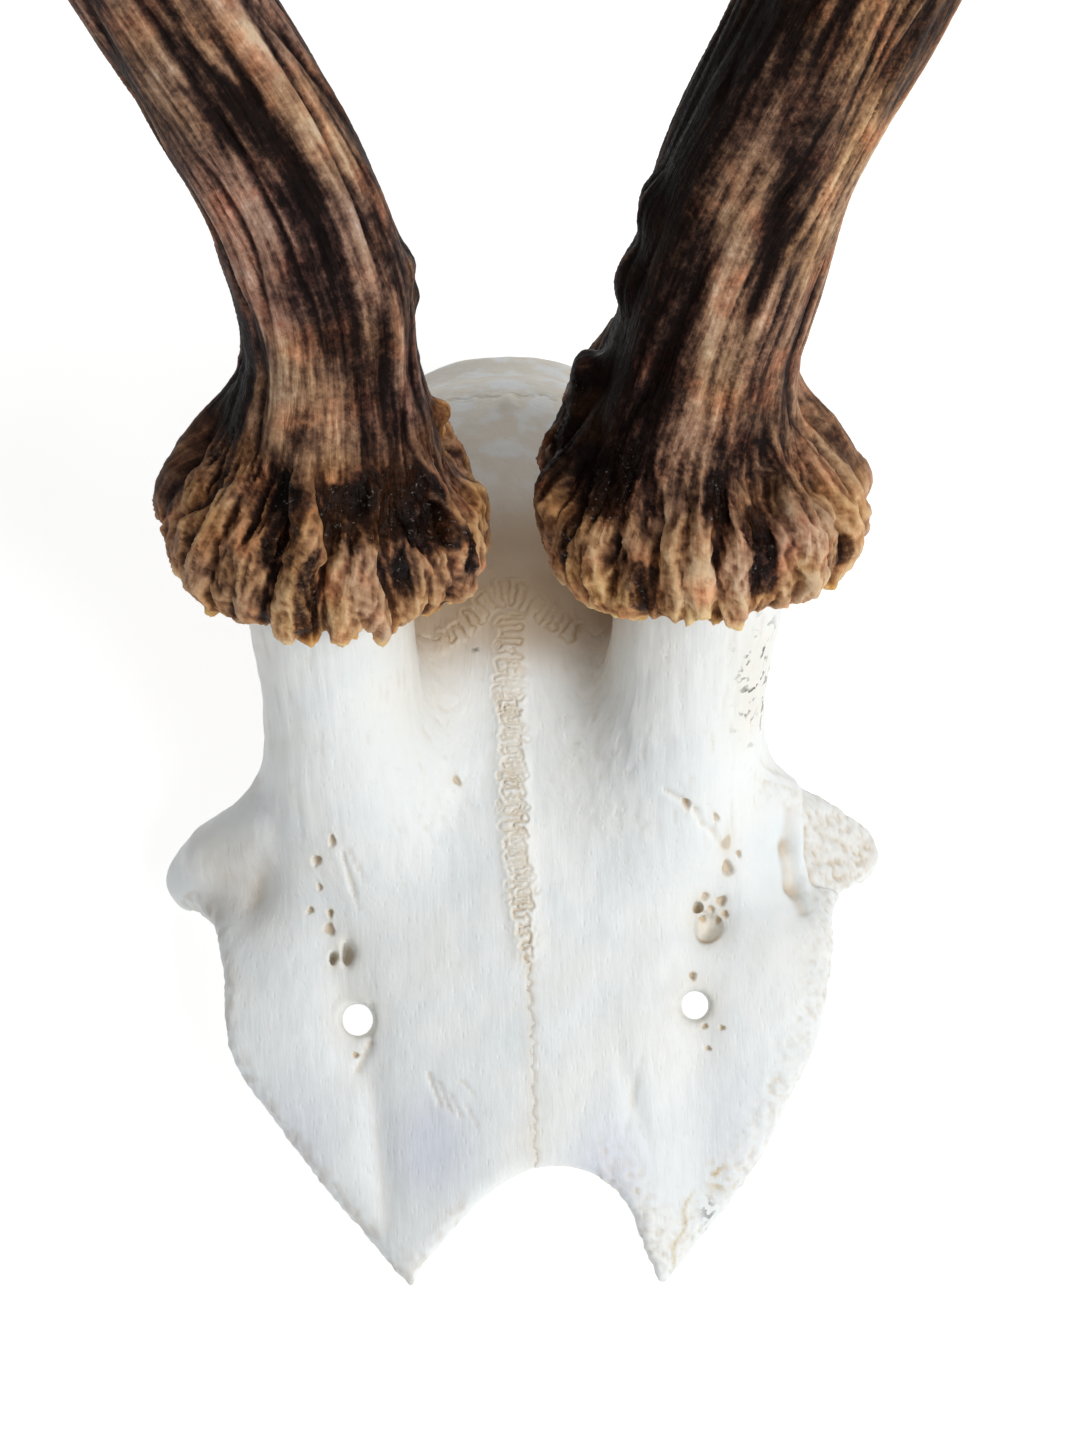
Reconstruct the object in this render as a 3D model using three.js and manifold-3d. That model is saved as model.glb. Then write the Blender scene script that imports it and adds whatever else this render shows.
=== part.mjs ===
// Roe deer skull cap with its antlers, millimetres, +Z up, nose towards -Y, resting on its cut rim at Z = 0.
// Left and right are the animal's own, so its left side is at +X.
// The roof of the skull is a shell over a floor plane: frontal plate, braincase vault, orbit walls and pedicles
// are joined into one bone and then parted along the sutures. Each antler is a bent, tapering beam with a burr at
// its foot and three tines, parted at its forks.
import * as THREE from "three";
import { mergeVertices } from "three/addons/utils/BufferGeometryUtils.js";
import Module from "manifold-3d";

const wasm = await Module();
wasm.setup();

// ---------------------------------------------------------------- driving sizes
const GAP = 0.3; // clearance between neighbouring solids
const ORIGIN = [2.33, 21.16, 0]; // base centre of the bounding box, in the skull's own midline frame

// outline of the frontal plate, half widths and their stations along Y, nose to pedicle
const RIGHT_EDGE = [[14.6, -63.2], [19.0, -58.2], [24.0, -52.2], [28.8, -46.2], [32.9, -40.4], [35.7, -36.0], [36.4, -31.0],
  [36.6, -25.5], [38.0, -19.4], [42.0, -14.4], [44.8, -10.4], [42.6, -7.2], [38.0, -5.5], [32.4, -4.9], [29.2, -2.2], [28.2, 3.0]];
const LEFT_EDGE = [[15.2, -63.4], [19.4, -59.0], [24.2, -53.8], [28.4, -48.2], [31.6, -42.8], [34.4, -38.2], [36.2, -32.6],
  [37.5, -26.0], [38.6, -19.6], [42.8, -14.6], [45.2, -11.0], [44.0, -7.8], [38.4, -6.2], [32.4, -5.6], [29.2, -3.4], [28.2, 3.0]];

// heights above the cut along Y: the midline, the groove to either side of it, and the raised rim over the orbit
const MIDLINE = [[-68, 6.0], [-56, 10.5], [-48, 13.7], [-40, 16.4], [-33, 18.7], [-28, 20.4], [-20, 23.1], [-10, 26.3], [-5, 27.8], [5, 30.3], [16, 31.6]];
const GROOVE_X = [[-66, 16.6], [-56, 17.8], [-48, 18.5], [-40, 19.3], [-33, 20.3], [-28, 21.5], [-20, 23.0], [-10, 22.5], [0, 22.0]];
const GROOVE_Z = [[-66, 2.9], [-63, 3.8], [-56, 7.0], [-48, 10.5], [-40, 13.6], [-33, 16.2], [-28, 17.6], [-20, 19.4], [-10, 21.5], [0, 22.5]];
const RIM_Z = [[-66, 2.6], [-63, 3.2], [-56, 6.0], [-48, 9.6], [-40, 12.6], [-33, 15.2], [-28, 16.4], [-20, 15.0], [-15, 9.4], [-10.5, 6.4], [-6, 9.0], [-3, 14.0], [3, 18.0]];
// between the stems the roof falls away from the midline by DROP at DROP_HALF to either side
const DROP = [[-20, 8.4], [-10.5, 20.0], [-4, 17.0], [6, 16.0]];
const DROP_HALF = [[-20, 38.0], [-10.5, 44.6], [-4, 38.0], [6, 33.0]];
const ROOF_THICK = 4.2, EDGE_THICK = 2.6;

const VAULT = { centre: [0, 26.4, -4.5], radii: [29.4, 31.6, 37.0], wall: 3.6, power: 2.25 };
const CREST = { centre: [0, 48.8, 13.0], radii: [14.0, 9.2, 4.8] };
const NOTCH = [[-15.6, -66], [-14.0, -61.2], [-11.2, -58.4], [-8.5, -55.7], [-5.6, -53.2], [-3.2, -51.8], [-0.3, -50.6], [3.6, -50.3], [7.3, -51.1],
  [10.0, -53.0], [11.8, -55.4], [12.7, -58.0], [13.9, -61.2], [15.9, -66]];
const PROCESS = { root: [29.8, -8.2, 18.0], bend: [37.8, -10.0, 12.4], tip: [41.9, -11.2, 3.8], radii: [5.0, 3.9, 3.0], flat: 0.72 };
const FORAMEN = { x: 20.2, y: -32.6, radius: 1.85, lean: [0.07, 0.25] }; // lean: outwards and forwards, per unit of depth upwards
const ORBIT_WALL = { thick: 2.6, from: -45, to: -2, foot: [[-45, 12.5], [-34, 15.5], [-22, 16.5], [-10, 15.5], [-2, 14.0]] };
const SEPTUM = { half: 1.4, from: -30, to: -4 };

const PEDICLE = { foot: [-5.4, 21.0], flare: 12.6, neck: 9.4, top: 9.9 };
const BREGMA_Y = 14.2, LAMBDA_Y = 45.0;

// antlers: the lower beam lies in a plane leaning back by TILT; rows are [x, distance up the plane]
const TILT = (52 * Math.PI) / 180;
const leaning = (rows) => rows.map(([x, s]) => [x, 7.7 + s * Math.cos(TILT), 40.4 + s * Math.sin(TILT)]);
const RIGHT = {
  side: -1, burr: 18.6, foot: 19.5,
  axis: [...leaning([[-20.8, 8.6], [-20.0, 17.3], [-18.5, 26.9], [-18.1, 36.5], [-18.6, 43.2], [-20.0, 49.0], [-21.9, 54.8], [-26.6, 65.3], [-30.6, 73.0], [-37.4, 86.5]]),
    [-44, 68.2, 124], [-51, 75.5, 147], [-55, 80, 170], [-56.5, 83, 195], [-55, 83, 217], [-51.5, 81, 236]],
  radius: [[20, 10.5], [24, 10.1], [38, 9.9], [47, 9.5], [57, 9.3], [66, 9.0], [82, 8.9], [100, 9.3], [116, 7.9], [134, 7.2], [149, 7.2], [166, 5.7], [190, 3.8], [205, 2.4], [214, 0.9]],
  front: [[-45.4, 69.8, 129], [-47.6, 60.6, 140], [-47.8, 52.2, 155], [-45.6, 47.2, 174]],
  rear: [[-55.3, 80.6, 173], [-58.6, 90, 181], [-61.6, 98.6, 191], [-62.6, 105, 204]],
};
const LEFT = {
  side: 1, burr: 18.8, foot: 18.9,
  axis: [...leaning([[22.9, 8.5], [22.4, 18.3], [22.1, 26.9], [23.4, 35.6], [24.7, 41.3], [26.6, 48.6], [28.8, 54.8], [33.9, 65.3], [36.4, 70.2], [44.4, 86.5]]),
    [50.2, 68, 124], [56.2, 75, 147], [59.6, 79.4, 170], [60.4, 82, 195], [58.6, 82.4, 217], [54.6, 80.4, 235]],
  radius: [[20, 11.2], [24, 10.8], [38, 10.9], [47, 10.7], [57, 10.6], [66, 10.8], [82, 10.4], [100, 10.2], [116, 8.4], [134, 7.6], [149, 7.5], [166, 5.9], [190, 3.9], [205, 2.5], [213, 0.9]],
  front: [[51.6, 69.4, 129], [53.4, 60, 141], [53, 51.4, 157], [50.4, 46.4, 177]],
  rear: [[59.8, 80, 173], [63.4, 89.4, 180.6], [66.2, 98, 190], [67.2, 104.4, 202.6]],
};
const FRONT_RADIUS = [[0, 7.6], [16, 6.6], [34, 4.6], [48, 2.6], [58, 0.8]];
const REAR_RADIUS = [[0, 6.6], [14, 5.4], [28, 3.6], [38, 2.0], [46, 0.8]];
const FORKS = [103, 151]; // distances along the beam

// ---------------------------------------------------------------- small helpers
const { max, min, abs, sqrt, exp, cos, sin, PI, sign } = Math;
const clamp = (v, a, b) => min(b, max(a, v));
const table = (rows, at) => { // smooth interpolation of [station, value] rows
  if (at <= rows[0][0]) return rows[0][1];
  for (let i = 1; i < rows.length; i++)
    if (at <= rows[i][0]) {
      const [a, va] = rows[i - 1], [b, vb] = rows[i], t = (at - a) / (b - a);
      const ma = i > 1 ? (vb - rows[i - 2][1]) / (b - rows[i - 2][0]) : (vb - va) / (b - a);
      const mb = i < rows.length - 1 ? (rows[i + 1][1] - va) / (rows[i + 1][0] - a) : (vb - va) / (b - a);
      const h = b - a, t2 = t * t, t3 = t2 * t;
      return (2 * t3 - 3 * t2 + 1) * va + (t3 - 2 * t2 + t) * h * ma + (3 * t2 - 2 * t3) * vb + (t3 - t2) * h * mb;
    }
  return rows[rows.length - 1][1];
};
const solid = (geometry) => {
  const g = geometry.clone();
  for (const name of Object.keys(g.attributes)) if (name !== "position") g.deleteAttribute(name);
  const m = mergeVertices(g, 1e-4);
  const made = new wasm.Manifold(new wasm.Mesh({ numProp: 3, vertProperties: m.attributes.position.array, triVerts: new Uint32Array(m.index.array) }));
  return made;
};
const geometryOf = (made) => {
  const m = made.getMesh(), v = new Float32Array(m.numVert * 3);
  for (let i = 0; i < m.numVert; i++) for (let k = 0; k < 3; k++) v[3 * i + k] = m.vertProperties[m.numProp * i + k];
  const g = new THREE.BufferGeometry().setAttribute("position", new THREE.BufferAttribute(v, 3)).setIndex(new THREE.BufferAttribute(new Uint32Array(m.triVerts), 1));
  g.computeVertexNormals();
  return g;
};
const bend = (geometry, f) => { // moves every vertex of a three.js geometry by f
  const p = geometry.attributes.position, v = new THREE.Vector3();
  for (let i = 0; i < p.count; i++) { v.fromBufferAttribute(p, i); f(v); p.setXYZ(i, v.x, v.y, v.z); }
  return geometry;
};
const largest = (made) => made.decompose().sort((a, b) => b.volume() - a.volume())[0];
const box = (x0, x1, y0, y1, z0, z1) => solid(new THREE.BoxGeometry(x1 - x0, y1 - y0, z1 - z0).translate((x0 + x1) / 2, (y0 + y1) / 2, (z0 + z1) / 2));

const axisOf = (points) => {
  const c = new THREE.CatmullRomCurve3(points.map((p) => new THREE.Vector3(...p)), false, "centripetal");
  c.arcLengthDivisions = 400;
  return c;
};
// A bent limb from a capped cylinder: rings gives [arc length, radius] per ring, swell the ribs around it.
function limb(axis, rings, around, swell = () => 1) {
  const g = new THREE.CylinderGeometry(1, 1, 1, around, rings.length - 1), long = axis.getLength();
  const forward = new THREE.Vector3(0, -1, 0.2);
  return solid(bend(g, (v) => {
    const i = Math.round((v.y + 0.5) * (rings.length - 1)), [s, r] = rings[i], flat = sqrt(v.x * v.x + v.z * v.z);
    const u = clamp(s / long, 0, 1), at = axis.getPointAt(u), t = axis.getTangentAt(u);
    at.addScaledVector(t, s - u * long);
    const n = forward.clone().addScaledVector(t, -forward.dot(t)).normalize(), b = new THREE.Vector3().crossVectors(t, n);
    const turn = Math.atan2(v.x, v.z), reach = flat < 0.5 ? 0 : r * swell(turn, s);
    v.copy(at).addScaledVector(n, cos(turn) * reach).addScaledVector(b, sin(turn) * reach);
  }));
}

// ---------------------------------------------------------------- skull roof
const superSphere = (c, r, power, wide, high, grow = 0) => bend(new THREE.SphereGeometry(1, wide, high).rotateX(PI / 2), (v) => {
  const k = (abs(v.x) ** power + abs(v.y) ** power + abs(v.z) ** power) ** (-1 / power);
  v.set(c[0] + v.x * k * (r[0] + grow), c[1] + v.y * k * (r[1] + grow), c[2] + v.z * k * (r[2] + grow));
});
const ease = (v, a, b) => { const t = clamp((v - a) / (b - a), 0, 1); return t * t * (3 - 2 * t); };
const smoothMax = (a, b, k) => max(a, b) + (max(k - abs(a - b), 0) / k) ** 2 * k * 0.25;
const halfWidth = (x, y) => { // of the plate's outline at station y, rows running nose to pedicle
  const rows = x < 0 ? RIGHT_EDGE : LEFT_EDGE;
  for (let i = 1; i < rows.length; i++) if (y <= rows[i][1]) return rows[i - 1][0] + ((rows[i][0] - rows[i - 1][0]) * (max(y, rows[0][1]) - rows[i - 1][1])) / (rows[i][1] - rows[i - 1][1]);
  return rows[rows.length - 1][0];
};
const frontalTop = (x, y) => {
  const a = abs(x), mid = table(MIDLINE, y), gx = table(GROOVE_X, y), gz = table(GROOVE_Z, y), rim = table(RIM_Z, y);
  const t = clamp((a - gx) / max(halfWidth(x, y) - gx, 2.5), 0, 1.15), bar = exp(-(((y + 10.5) / 7.5) ** 2));
  const inner = mid - (mid - gz) * (a / gx) ** 2.3;
  const outer = gz + (rim - gz) * t ** (1.2 + 1.3 * bar) + (1 - bar) * 3.2 * t * clamp(1 - t, 0, 1) * ease(y, -60, -46);
  const arched = mid - table(DROP, y) * (a / table(DROP_HALF, y)) ** 3.3, back = ease(y, -13, -3);
  return smoothMax(inner, outer, 2.6) * (1 - back) + arched * back;
};
const plateThick = (u) => EDGE_THICK + (ROOF_THICK - EDGE_THICK) * clamp(6 * u * (1 - u), 0, 1);
const edge = (rows, s) => new THREE.SplineCurve(rows.map(([w, y]) => new THREE.Vector2(s * w, y)));

// a closed slab between two height functions over a grid from one plan curve to another
function slab(low, high, curveA, curveB, across, along) {
  const top = new THREE.BoxGeometry(1, 1, 1, across, along, 1);
  return bend(top, (v) => {
    const u = v.x + 0.5, t = v.y + 0.5, a = curveA(t), b = curveB(t);
    const x = a.x + (b.x - a.x) * u, y = a.y + (b.y - a.y) * u;
    v.set(x, y, v.z > 0 ? high(x, y, u) : low(x, y, u));
  });
}
const rightEdge = edge(RIGHT_EDGE, -1), leftEdge = edge(LEFT_EDGE, 1);
const plate = solid(slab((x, y, u) => frontalTop(x, y) - plateThick(u), frontalTop, (t) => rightEdge.getPoint(t), (t) => leftEdge.getPoint(t), 18, 20));

const orbitWall = (s) => {
  const { thick, from, to, foot } = ORBIT_WALL, half = thick / 2;
  const line = (off) => (t) => { const y = from + (to - from) * t; return { x: s * table(foot, y) + off, y }; };
  return solid(slab(() => -1, (x, y) => frontalTop(x, y) - 1.2, line(-half), line(half), 1, 10));
};
const septum = solid(slab(() => -1, (x, y) => frontalTop(x, y) - 1.2,
  (t) => ({ x: -SEPTUM.half, y: SEPTUM.from + (SEPTUM.to - SEPTUM.from) * t }), (t) => ({ x: SEPTUM.half, y: SEPTUM.from + (SEPTUM.to - SEPTUM.from) * t }), 1, 6));

// the bar behind each orbit, turning down to its free end
const process = (s) => {
  const axis = axisOf([PROCESS.root, PROCESS.bend, PROCESS.tip].map(([x, y, z]) => [s * x, y, z]));
  const long = axis.getLength(), [a, b, c] = PROCESS.radii;
  return limb(axis, [0, 0.2, 0.4, 0.6, 0.8, 0.95, 1].map((t) => [t * long, t < 0.5 ? a + (b - a) * 2 * t : t > 0.97 ? c * 0.6 : b + (c - b) * (2 * t - 1)]), 10,
    (turn) => 1 - (1 - PROCESS.flat) * abs(sin(turn)));
};

// a pedicle: a lathed stem from the roof to the burr, leaning back with the antler
function pedicle(antler, grow = 0) {
  const top = new THREE.Vector3(...antler.axis[0]), foot = new THREE.Vector3(antler.side * antler.foot, ...PEDICLE.foot);
  const lean = top.clone().sub(foot), length = lean.length();
  const outline = [[0, -4], [PEDICLE.flare, -4], [PEDICLE.flare - 0.7, 2], [PEDICLE.neck + 1.0, 8], [PEDICLE.neck, 15], [PEDICLE.top, length + grow], [0, length + grow]];
  const g = new THREE.LatheGeometry(outline.map(([r, h]) => new THREE.Vector2(r && r + grow, h)), 20);
  g.applyQuaternion(new THREE.Quaternion().setFromUnitVectors(new THREE.Vector3(0, 1, 0), lean.normalize()));
  return solid(g.translate(foot.x, foot.y, foot.z));
}

const vaultOuter = solid(superSphere(VAULT.centre, VAULT.radii, VAULT.power, 28, 20));
const vaultInner = solid(superSphere(VAULT.centre, VAULT.radii, VAULT.power, 22, 14, -VAULT.wall));
const crest = solid(superSphere(CREST.centre, CREST.radii, 2.2, 16, 8));
const notchShape = new THREE.Shape().moveTo(...NOTCH[0]).splineThru(NOTCH.slice(1).map(([x, y]) => new THREE.Vector2(x, y))).lineTo(15.9, -80).lineTo(-15.6, -80);
const notch = solid(new THREE.ExtrudeGeometry(notchShape, { depth: 60, bevelEnabled: false, curveSegments: 2 }).translate(0, 0, -30));
const foramen = (s) => {
  const { x, y, radius, lean } = FORAMEN, up = new THREE.Vector3(-s * lean[0], -lean[1], 1).normalize();
  const g = new THREE.CylinderGeometry(radius, radius, 18, 12).applyQuaternion(new THREE.Quaternion().setFromUnitVectors(new THREE.Vector3(0, 1, 0), up));
  return solid(g.translate(s * x, y, frontalTop(s * x, y)));
};
const behindCrest = solid(new THREE.BoxGeometry(80, 30, 60).rotateX(-0.12).translate(0, 73.2, 10));

const stems = { right: pedicle(RIGHT), left: pedicle(LEFT) };
const clearStems = pedicle(RIGHT, GAP).add(pedicle(LEFT, GAP));
const skull = plate.add(vaultOuter).add(crest).add(process(-1)).add(process(1)).add(orbitWall(-1)).add(orbitWall(1)).add(septum).add(stems.right).add(stems.left)
  .subtract(vaultInner).subtract(box(-80, 80, -90, 90, -80, 0)).subtract(notch).subtract(foramen(-1)).subtract(foramen(1)).subtract(behindCrest);
// the vault's hollow opens the septum's rear end too, so keep only the largest piece
const whole = largest(skull);

const half = GAP / 2;
const frontal = (s, stem) => whole.intersect(box(s < 0 ? -80 : half, s < 0 ? -half : 80, -90, BREGMA_Y - half, -1, 90).add(stem));
const bones = {
  frontal_right: frontal(-1, stems.right),
  frontal_left: frontal(1, stems.left),
  parietal: whole.intersect(box(-80, 80, BREGMA_Y + half, LAMBDA_Y - half, -1, 90)).subtract(clearStems),
  occipital: whole.intersect(box(-80, 80, LAMBDA_Y + half, 90, -1, 90)),
};

// ---------------------------------------------------------------- antlers
const range = (a, b, n) => Array.from({ length: n + 1 }, (_, i) => a + ((b - a) * i) / n);
function antler(a, name) {
  const axis = axisOf(a.axis), long = axis.getLength(), [f1, f2] = FORKS, last = a.radius[a.radius.length - 1][0];
  const radius = (s, grow = 0) => table(a.radius, s < f2 ? s : f2 + ((s - f2) * (last - f2)) / (long - f2)) + grow;
  const ribs = (turn, s) => 1 + 0.04 * cos(12 * turn + 0.6) * clamp(1.4 - abs(s - 3) / 11, 0, 1);
  const burr = [[-0.6, 9.6], [-1.2, 12.6], [-0.9, 16.0], [1.0, a.burr - 0.7], [4.7, a.burr], [8.0, a.burr - 1.0], [11.0, a.burr - 3.6], [14.0, a.burr - 6.4], [17.0, radius(20) + 0.7], [20.5, radius(20)]];
  const lower = [...burr, ...range(28, f1 - half, 8).map((s) => [s, radius(s)])];
  const beam = limb(axis, lower, 28, ribs).subtract(pedicle(a, GAP));
  const upper = limb(axis, range(f1 + half, f2 - half, 6).map((s) => [s, radius(s)]), 18);
  const top = limb(axis, range(f2 + half, long, 8).map((s) => [s, radius(s)]), 14);
  const swollen = limb(axis, range(30, long, 24).map((s) => [s, radius(s, GAP)]), 18);
  const tine = (points, rows, n, m) => {
    const c = axisOf(points), l = c.getLength(), end = rows[rows.length - 1][0];
    return limb(c, range(0, l, m).map((s) => [s, table(rows, (s * end) / l)]), n).subtract(swollen);
  };
  return {
    [`antler_${name}_beam`]: beam,
    [`antler_${name}_upper_beam`]: upper,
    [`antler_${name}_top_tine`]: top,
    [`antler_${name}_front_tine`]: tine(a.front, FRONT_RADIUS, 14, 8),
    [`antler_${name}_rear_tine`]: tine(a.rear, REAR_RADIUS, 12, 7),
  };
}

// ---------------------------------------------------------------- scene graph
const bone = () => new THREE.MeshStandardMaterial({ color: 0xe9e7de, roughness: 0.72, metalness: 0 });
const horn = () => new THREE.MeshStandardMaterial({ color: 0x4a3322, roughness: 0.55, metalness: 0 });
const specimen = new THREE.Group();
specimen.name = "skull_cap_with_antlers";
const body = new THREE.Group();
body.position.set(-ORIGIN[0], -ORIGIN[1], -ORIGIN[2]);
specimen.add(body);
const place = (solids, material) => {
  for (const [name, made] of Object.entries(solids)) {
    const mesh = new THREE.Mesh(geometryOf(largest(made)), material());
    mesh.name = name;
    body.add(mesh);
  }
};
place(bones, bone);
place(antler(RIGHT, "right"), horn);
place(antler(LEFT, "left"), horn);

export default specimen;
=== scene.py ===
"""Roe deer skull cap with antlers: the looks. Lengths below are millimetres in the skull's midline frame,
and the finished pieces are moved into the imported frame, in metres, by the same shift as the solids."""
import math

import bpy
import numpy as np
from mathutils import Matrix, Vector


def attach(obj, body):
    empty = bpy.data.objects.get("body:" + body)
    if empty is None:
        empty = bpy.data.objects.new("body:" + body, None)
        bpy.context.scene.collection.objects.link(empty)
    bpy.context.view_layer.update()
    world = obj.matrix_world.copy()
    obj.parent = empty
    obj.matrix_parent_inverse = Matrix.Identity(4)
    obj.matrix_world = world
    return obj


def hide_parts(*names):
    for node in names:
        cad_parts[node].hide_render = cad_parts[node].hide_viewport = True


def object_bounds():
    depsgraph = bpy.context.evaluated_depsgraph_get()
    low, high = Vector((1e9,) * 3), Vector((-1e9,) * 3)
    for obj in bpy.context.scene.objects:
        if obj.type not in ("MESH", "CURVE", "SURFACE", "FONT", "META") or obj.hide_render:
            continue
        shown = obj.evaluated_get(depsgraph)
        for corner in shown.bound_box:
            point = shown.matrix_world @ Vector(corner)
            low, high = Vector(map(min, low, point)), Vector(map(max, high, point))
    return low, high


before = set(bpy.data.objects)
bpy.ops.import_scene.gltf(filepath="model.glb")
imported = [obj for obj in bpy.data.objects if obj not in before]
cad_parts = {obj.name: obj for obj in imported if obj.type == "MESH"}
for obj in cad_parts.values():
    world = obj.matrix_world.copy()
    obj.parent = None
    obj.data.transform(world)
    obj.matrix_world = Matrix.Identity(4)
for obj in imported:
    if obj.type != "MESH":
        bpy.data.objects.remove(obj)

import openvdb
from mathutils import Matrix, Vector

cad_box = [list(v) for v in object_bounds()]
F32 = np.float32
SHIFT = np.array([2.33, 21.16, 0.0])

# ------------------------------------------------------------------ noise
_rng = np.random.default_rng(11)
_PERM = np.tile(_rng.permutation(256).astype(np.int32), 3)
_GRAD = _rng.normal(size=(256, 3))
_GRAD = (_GRAD / np.linalg.norm(_GRAD, axis=1, keepdims=True)).astype(F32)


def noise(p, freq=1.0, seed=0.0):
    """Gradient noise, about -1 to 1, at points p (N, 3)."""
    q = p * np.asarray(freq, F32) + np.array([17.13, 31.7, 5.9], F32) * F32(seed)
    i = np.floor(q).astype(np.int32)
    f = (q - i).astype(F32)
    u = f * f * f * (f * (f * 6 - 15) + 10)
    i &= 255
    out = 0
    for dx in (0, 1):
        wx = u[:, 0] if dx else 1 - u[:, 0]
        hx = _PERM[i[:, 0] + dx]
        for dy in (0, 1):
            wy = u[:, 1] if dy else 1 - u[:, 1]
            hy = _PERM[hx + i[:, 1] + dy]
            for dz in (0, 1):
                wz = u[:, 2] if dz else 1 - u[:, 2]
                g = _GRAD[_PERM[hy + i[:, 2] + dz]]
                dot = g[:, 0] * (f[:, 0] - dx) + g[:, 1] * (f[:, 1] - dy) + g[:, 2] * (f[:, 2] - dz)
                out = out + wx * wy * wz * dot
    return out * F32(1.7)


def fbm(p, freq=1.0, seed=0.0, octaves=3, gain=0.5):
    total, a, k = 0, 1.0, 0.0
    for o in range(octaves):
        total = total + a * noise(p, np.asarray(freq) * 2.03**o, seed + 3.7 * o)
        k += a
        a *= gain
    return total / k


def smin(a, b, k):
    h = np.maximum(k - np.abs(a - b), 0) / k
    return np.minimum(a, b) - h * h * (k * 0.25)


def smax(a, b, k):
    return -smin(-a, -b, k)


def table(rows, at):
    """Smooth (Hermite) interpolation of [station, value] rows."""
    xs, ys = np.array([r[0] for r in rows], float), np.array([r[1] for r in rows], float)
    m = np.gradient(ys, xs)
    at = np.clip(at, xs[0], xs[-1])
    i = np.clip(np.searchsorted(xs, at, side="right") - 1, 0, len(xs) - 2)
    h = xs[i + 1] - xs[i]
    t = (at - xs[i]) / h
    t2, t3 = t * t, t * t * t
    return ((2 * t3 - 3 * t2 + 1) * ys[i] + (t3 - 2 * t2 + t) * h * m[i] + (3 * t2 - 2 * t3) * ys[i + 1] + (t3 - t2) * h * m[i + 1]).astype(F32)


def bump01(x):
    return np.exp(-x * x)


def ramp(x, a, b):
    t = np.clip((x - a) / (b - a), 0, 1)
    return t * t * (3 - 2 * t)


# ------------------------------------------------------------------ surfaces from distance functions
def surface_of(f, lo, hi, h, lip=1.25):
    """Closed quad mesh of f = 0 inside the box, evaluated only in blocks near the surface."""
    B = 4
    lo, hi = np.array(lo, float), np.array(hi, float)
    nb = np.ceil((hi - lo) / (h * B)).astype(int)
    idx = np.stack(np.meshgrid(*[np.arange(n) for n in nb], indexing="ij"), -1).reshape(-1, 3)
    centre = lo + (idx + 0.5) * B * h
    fc = run(f, centre)
    bg = 3 * h
    dense = np.where(fc > 0, bg, -bg).astype(F32).reshape(nb)
    dense = dense.repeat(B, 0).repeat(B, 1).repeat(B, 2)
    near = np.abs(fc) < lip * (B * h * 0.87 + 2.0 * h)
    k = idx[near]
    o = np.stack(np.meshgrid(*[np.arange(B)] * 3, indexing="ij"), -1).reshape(-1, 3)
    cell = (k[:, None, :] * B + o[None]).reshape(-1, 3)
    v = run(f, lo + (cell + 0.5) * h)
    dense[cell[:, 0], cell[:, 1], cell[:, 2]] = np.clip(v, -bg, bg)
    dense[0], dense[-1] = bg, bg
    dense[:, 0], dense[:, -1] = bg, bg
    dense[:, :, 0], dense[:, :, -1] = bg, bg
    grid = openvdb.FloatGrid(bg)
    grid.copyFromArray(dense)
    pts, quads = grid.convertToQuads(0.0)
    pts = lo + (pts.astype(float) + 0.5) * h
    quads = quads.astype(np.int64)
    tri = pts[quads[:, :3]]
    if np.einsum("ij,ij->i", tri[:, 0], np.cross(tri[:, 1], tri[:, 2])).sum() < 0:
        quads = quads[:, ::-1]
    return pts, quads


def run(f, p, chunk=300000):
    p = np.asarray(p, F32)
    return np.concatenate([f(p[i : i + chunk]) for i in range(0, len(p), chunk)]).astype(F32)


def largest_body(pts, quads):
    """Keeps the largest connected body."""
    label = np.arange(len(pts))
    e = np.concatenate([quads[:, [0, 1]], quads[:, [1, 2]], quads[:, [2, 3]]])
    while True:
        m = np.minimum(label[e[:, 0]], label[e[:, 1]])
        new = label.copy()
        np.minimum.at(new, e[:, 0], m)
        np.minimum.at(new, e[:, 1], m)
        new = new[new]
        new = new[new]
        if (new == label).all():
            break
        label = new
    ids, counts = np.unique(label, return_counts=True)
    keep = label == ids[counts.argmax()]
    back = np.cumsum(keep) - 1
    return pts[keep], back[quads[keep[quads[:, 0]]]]


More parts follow.
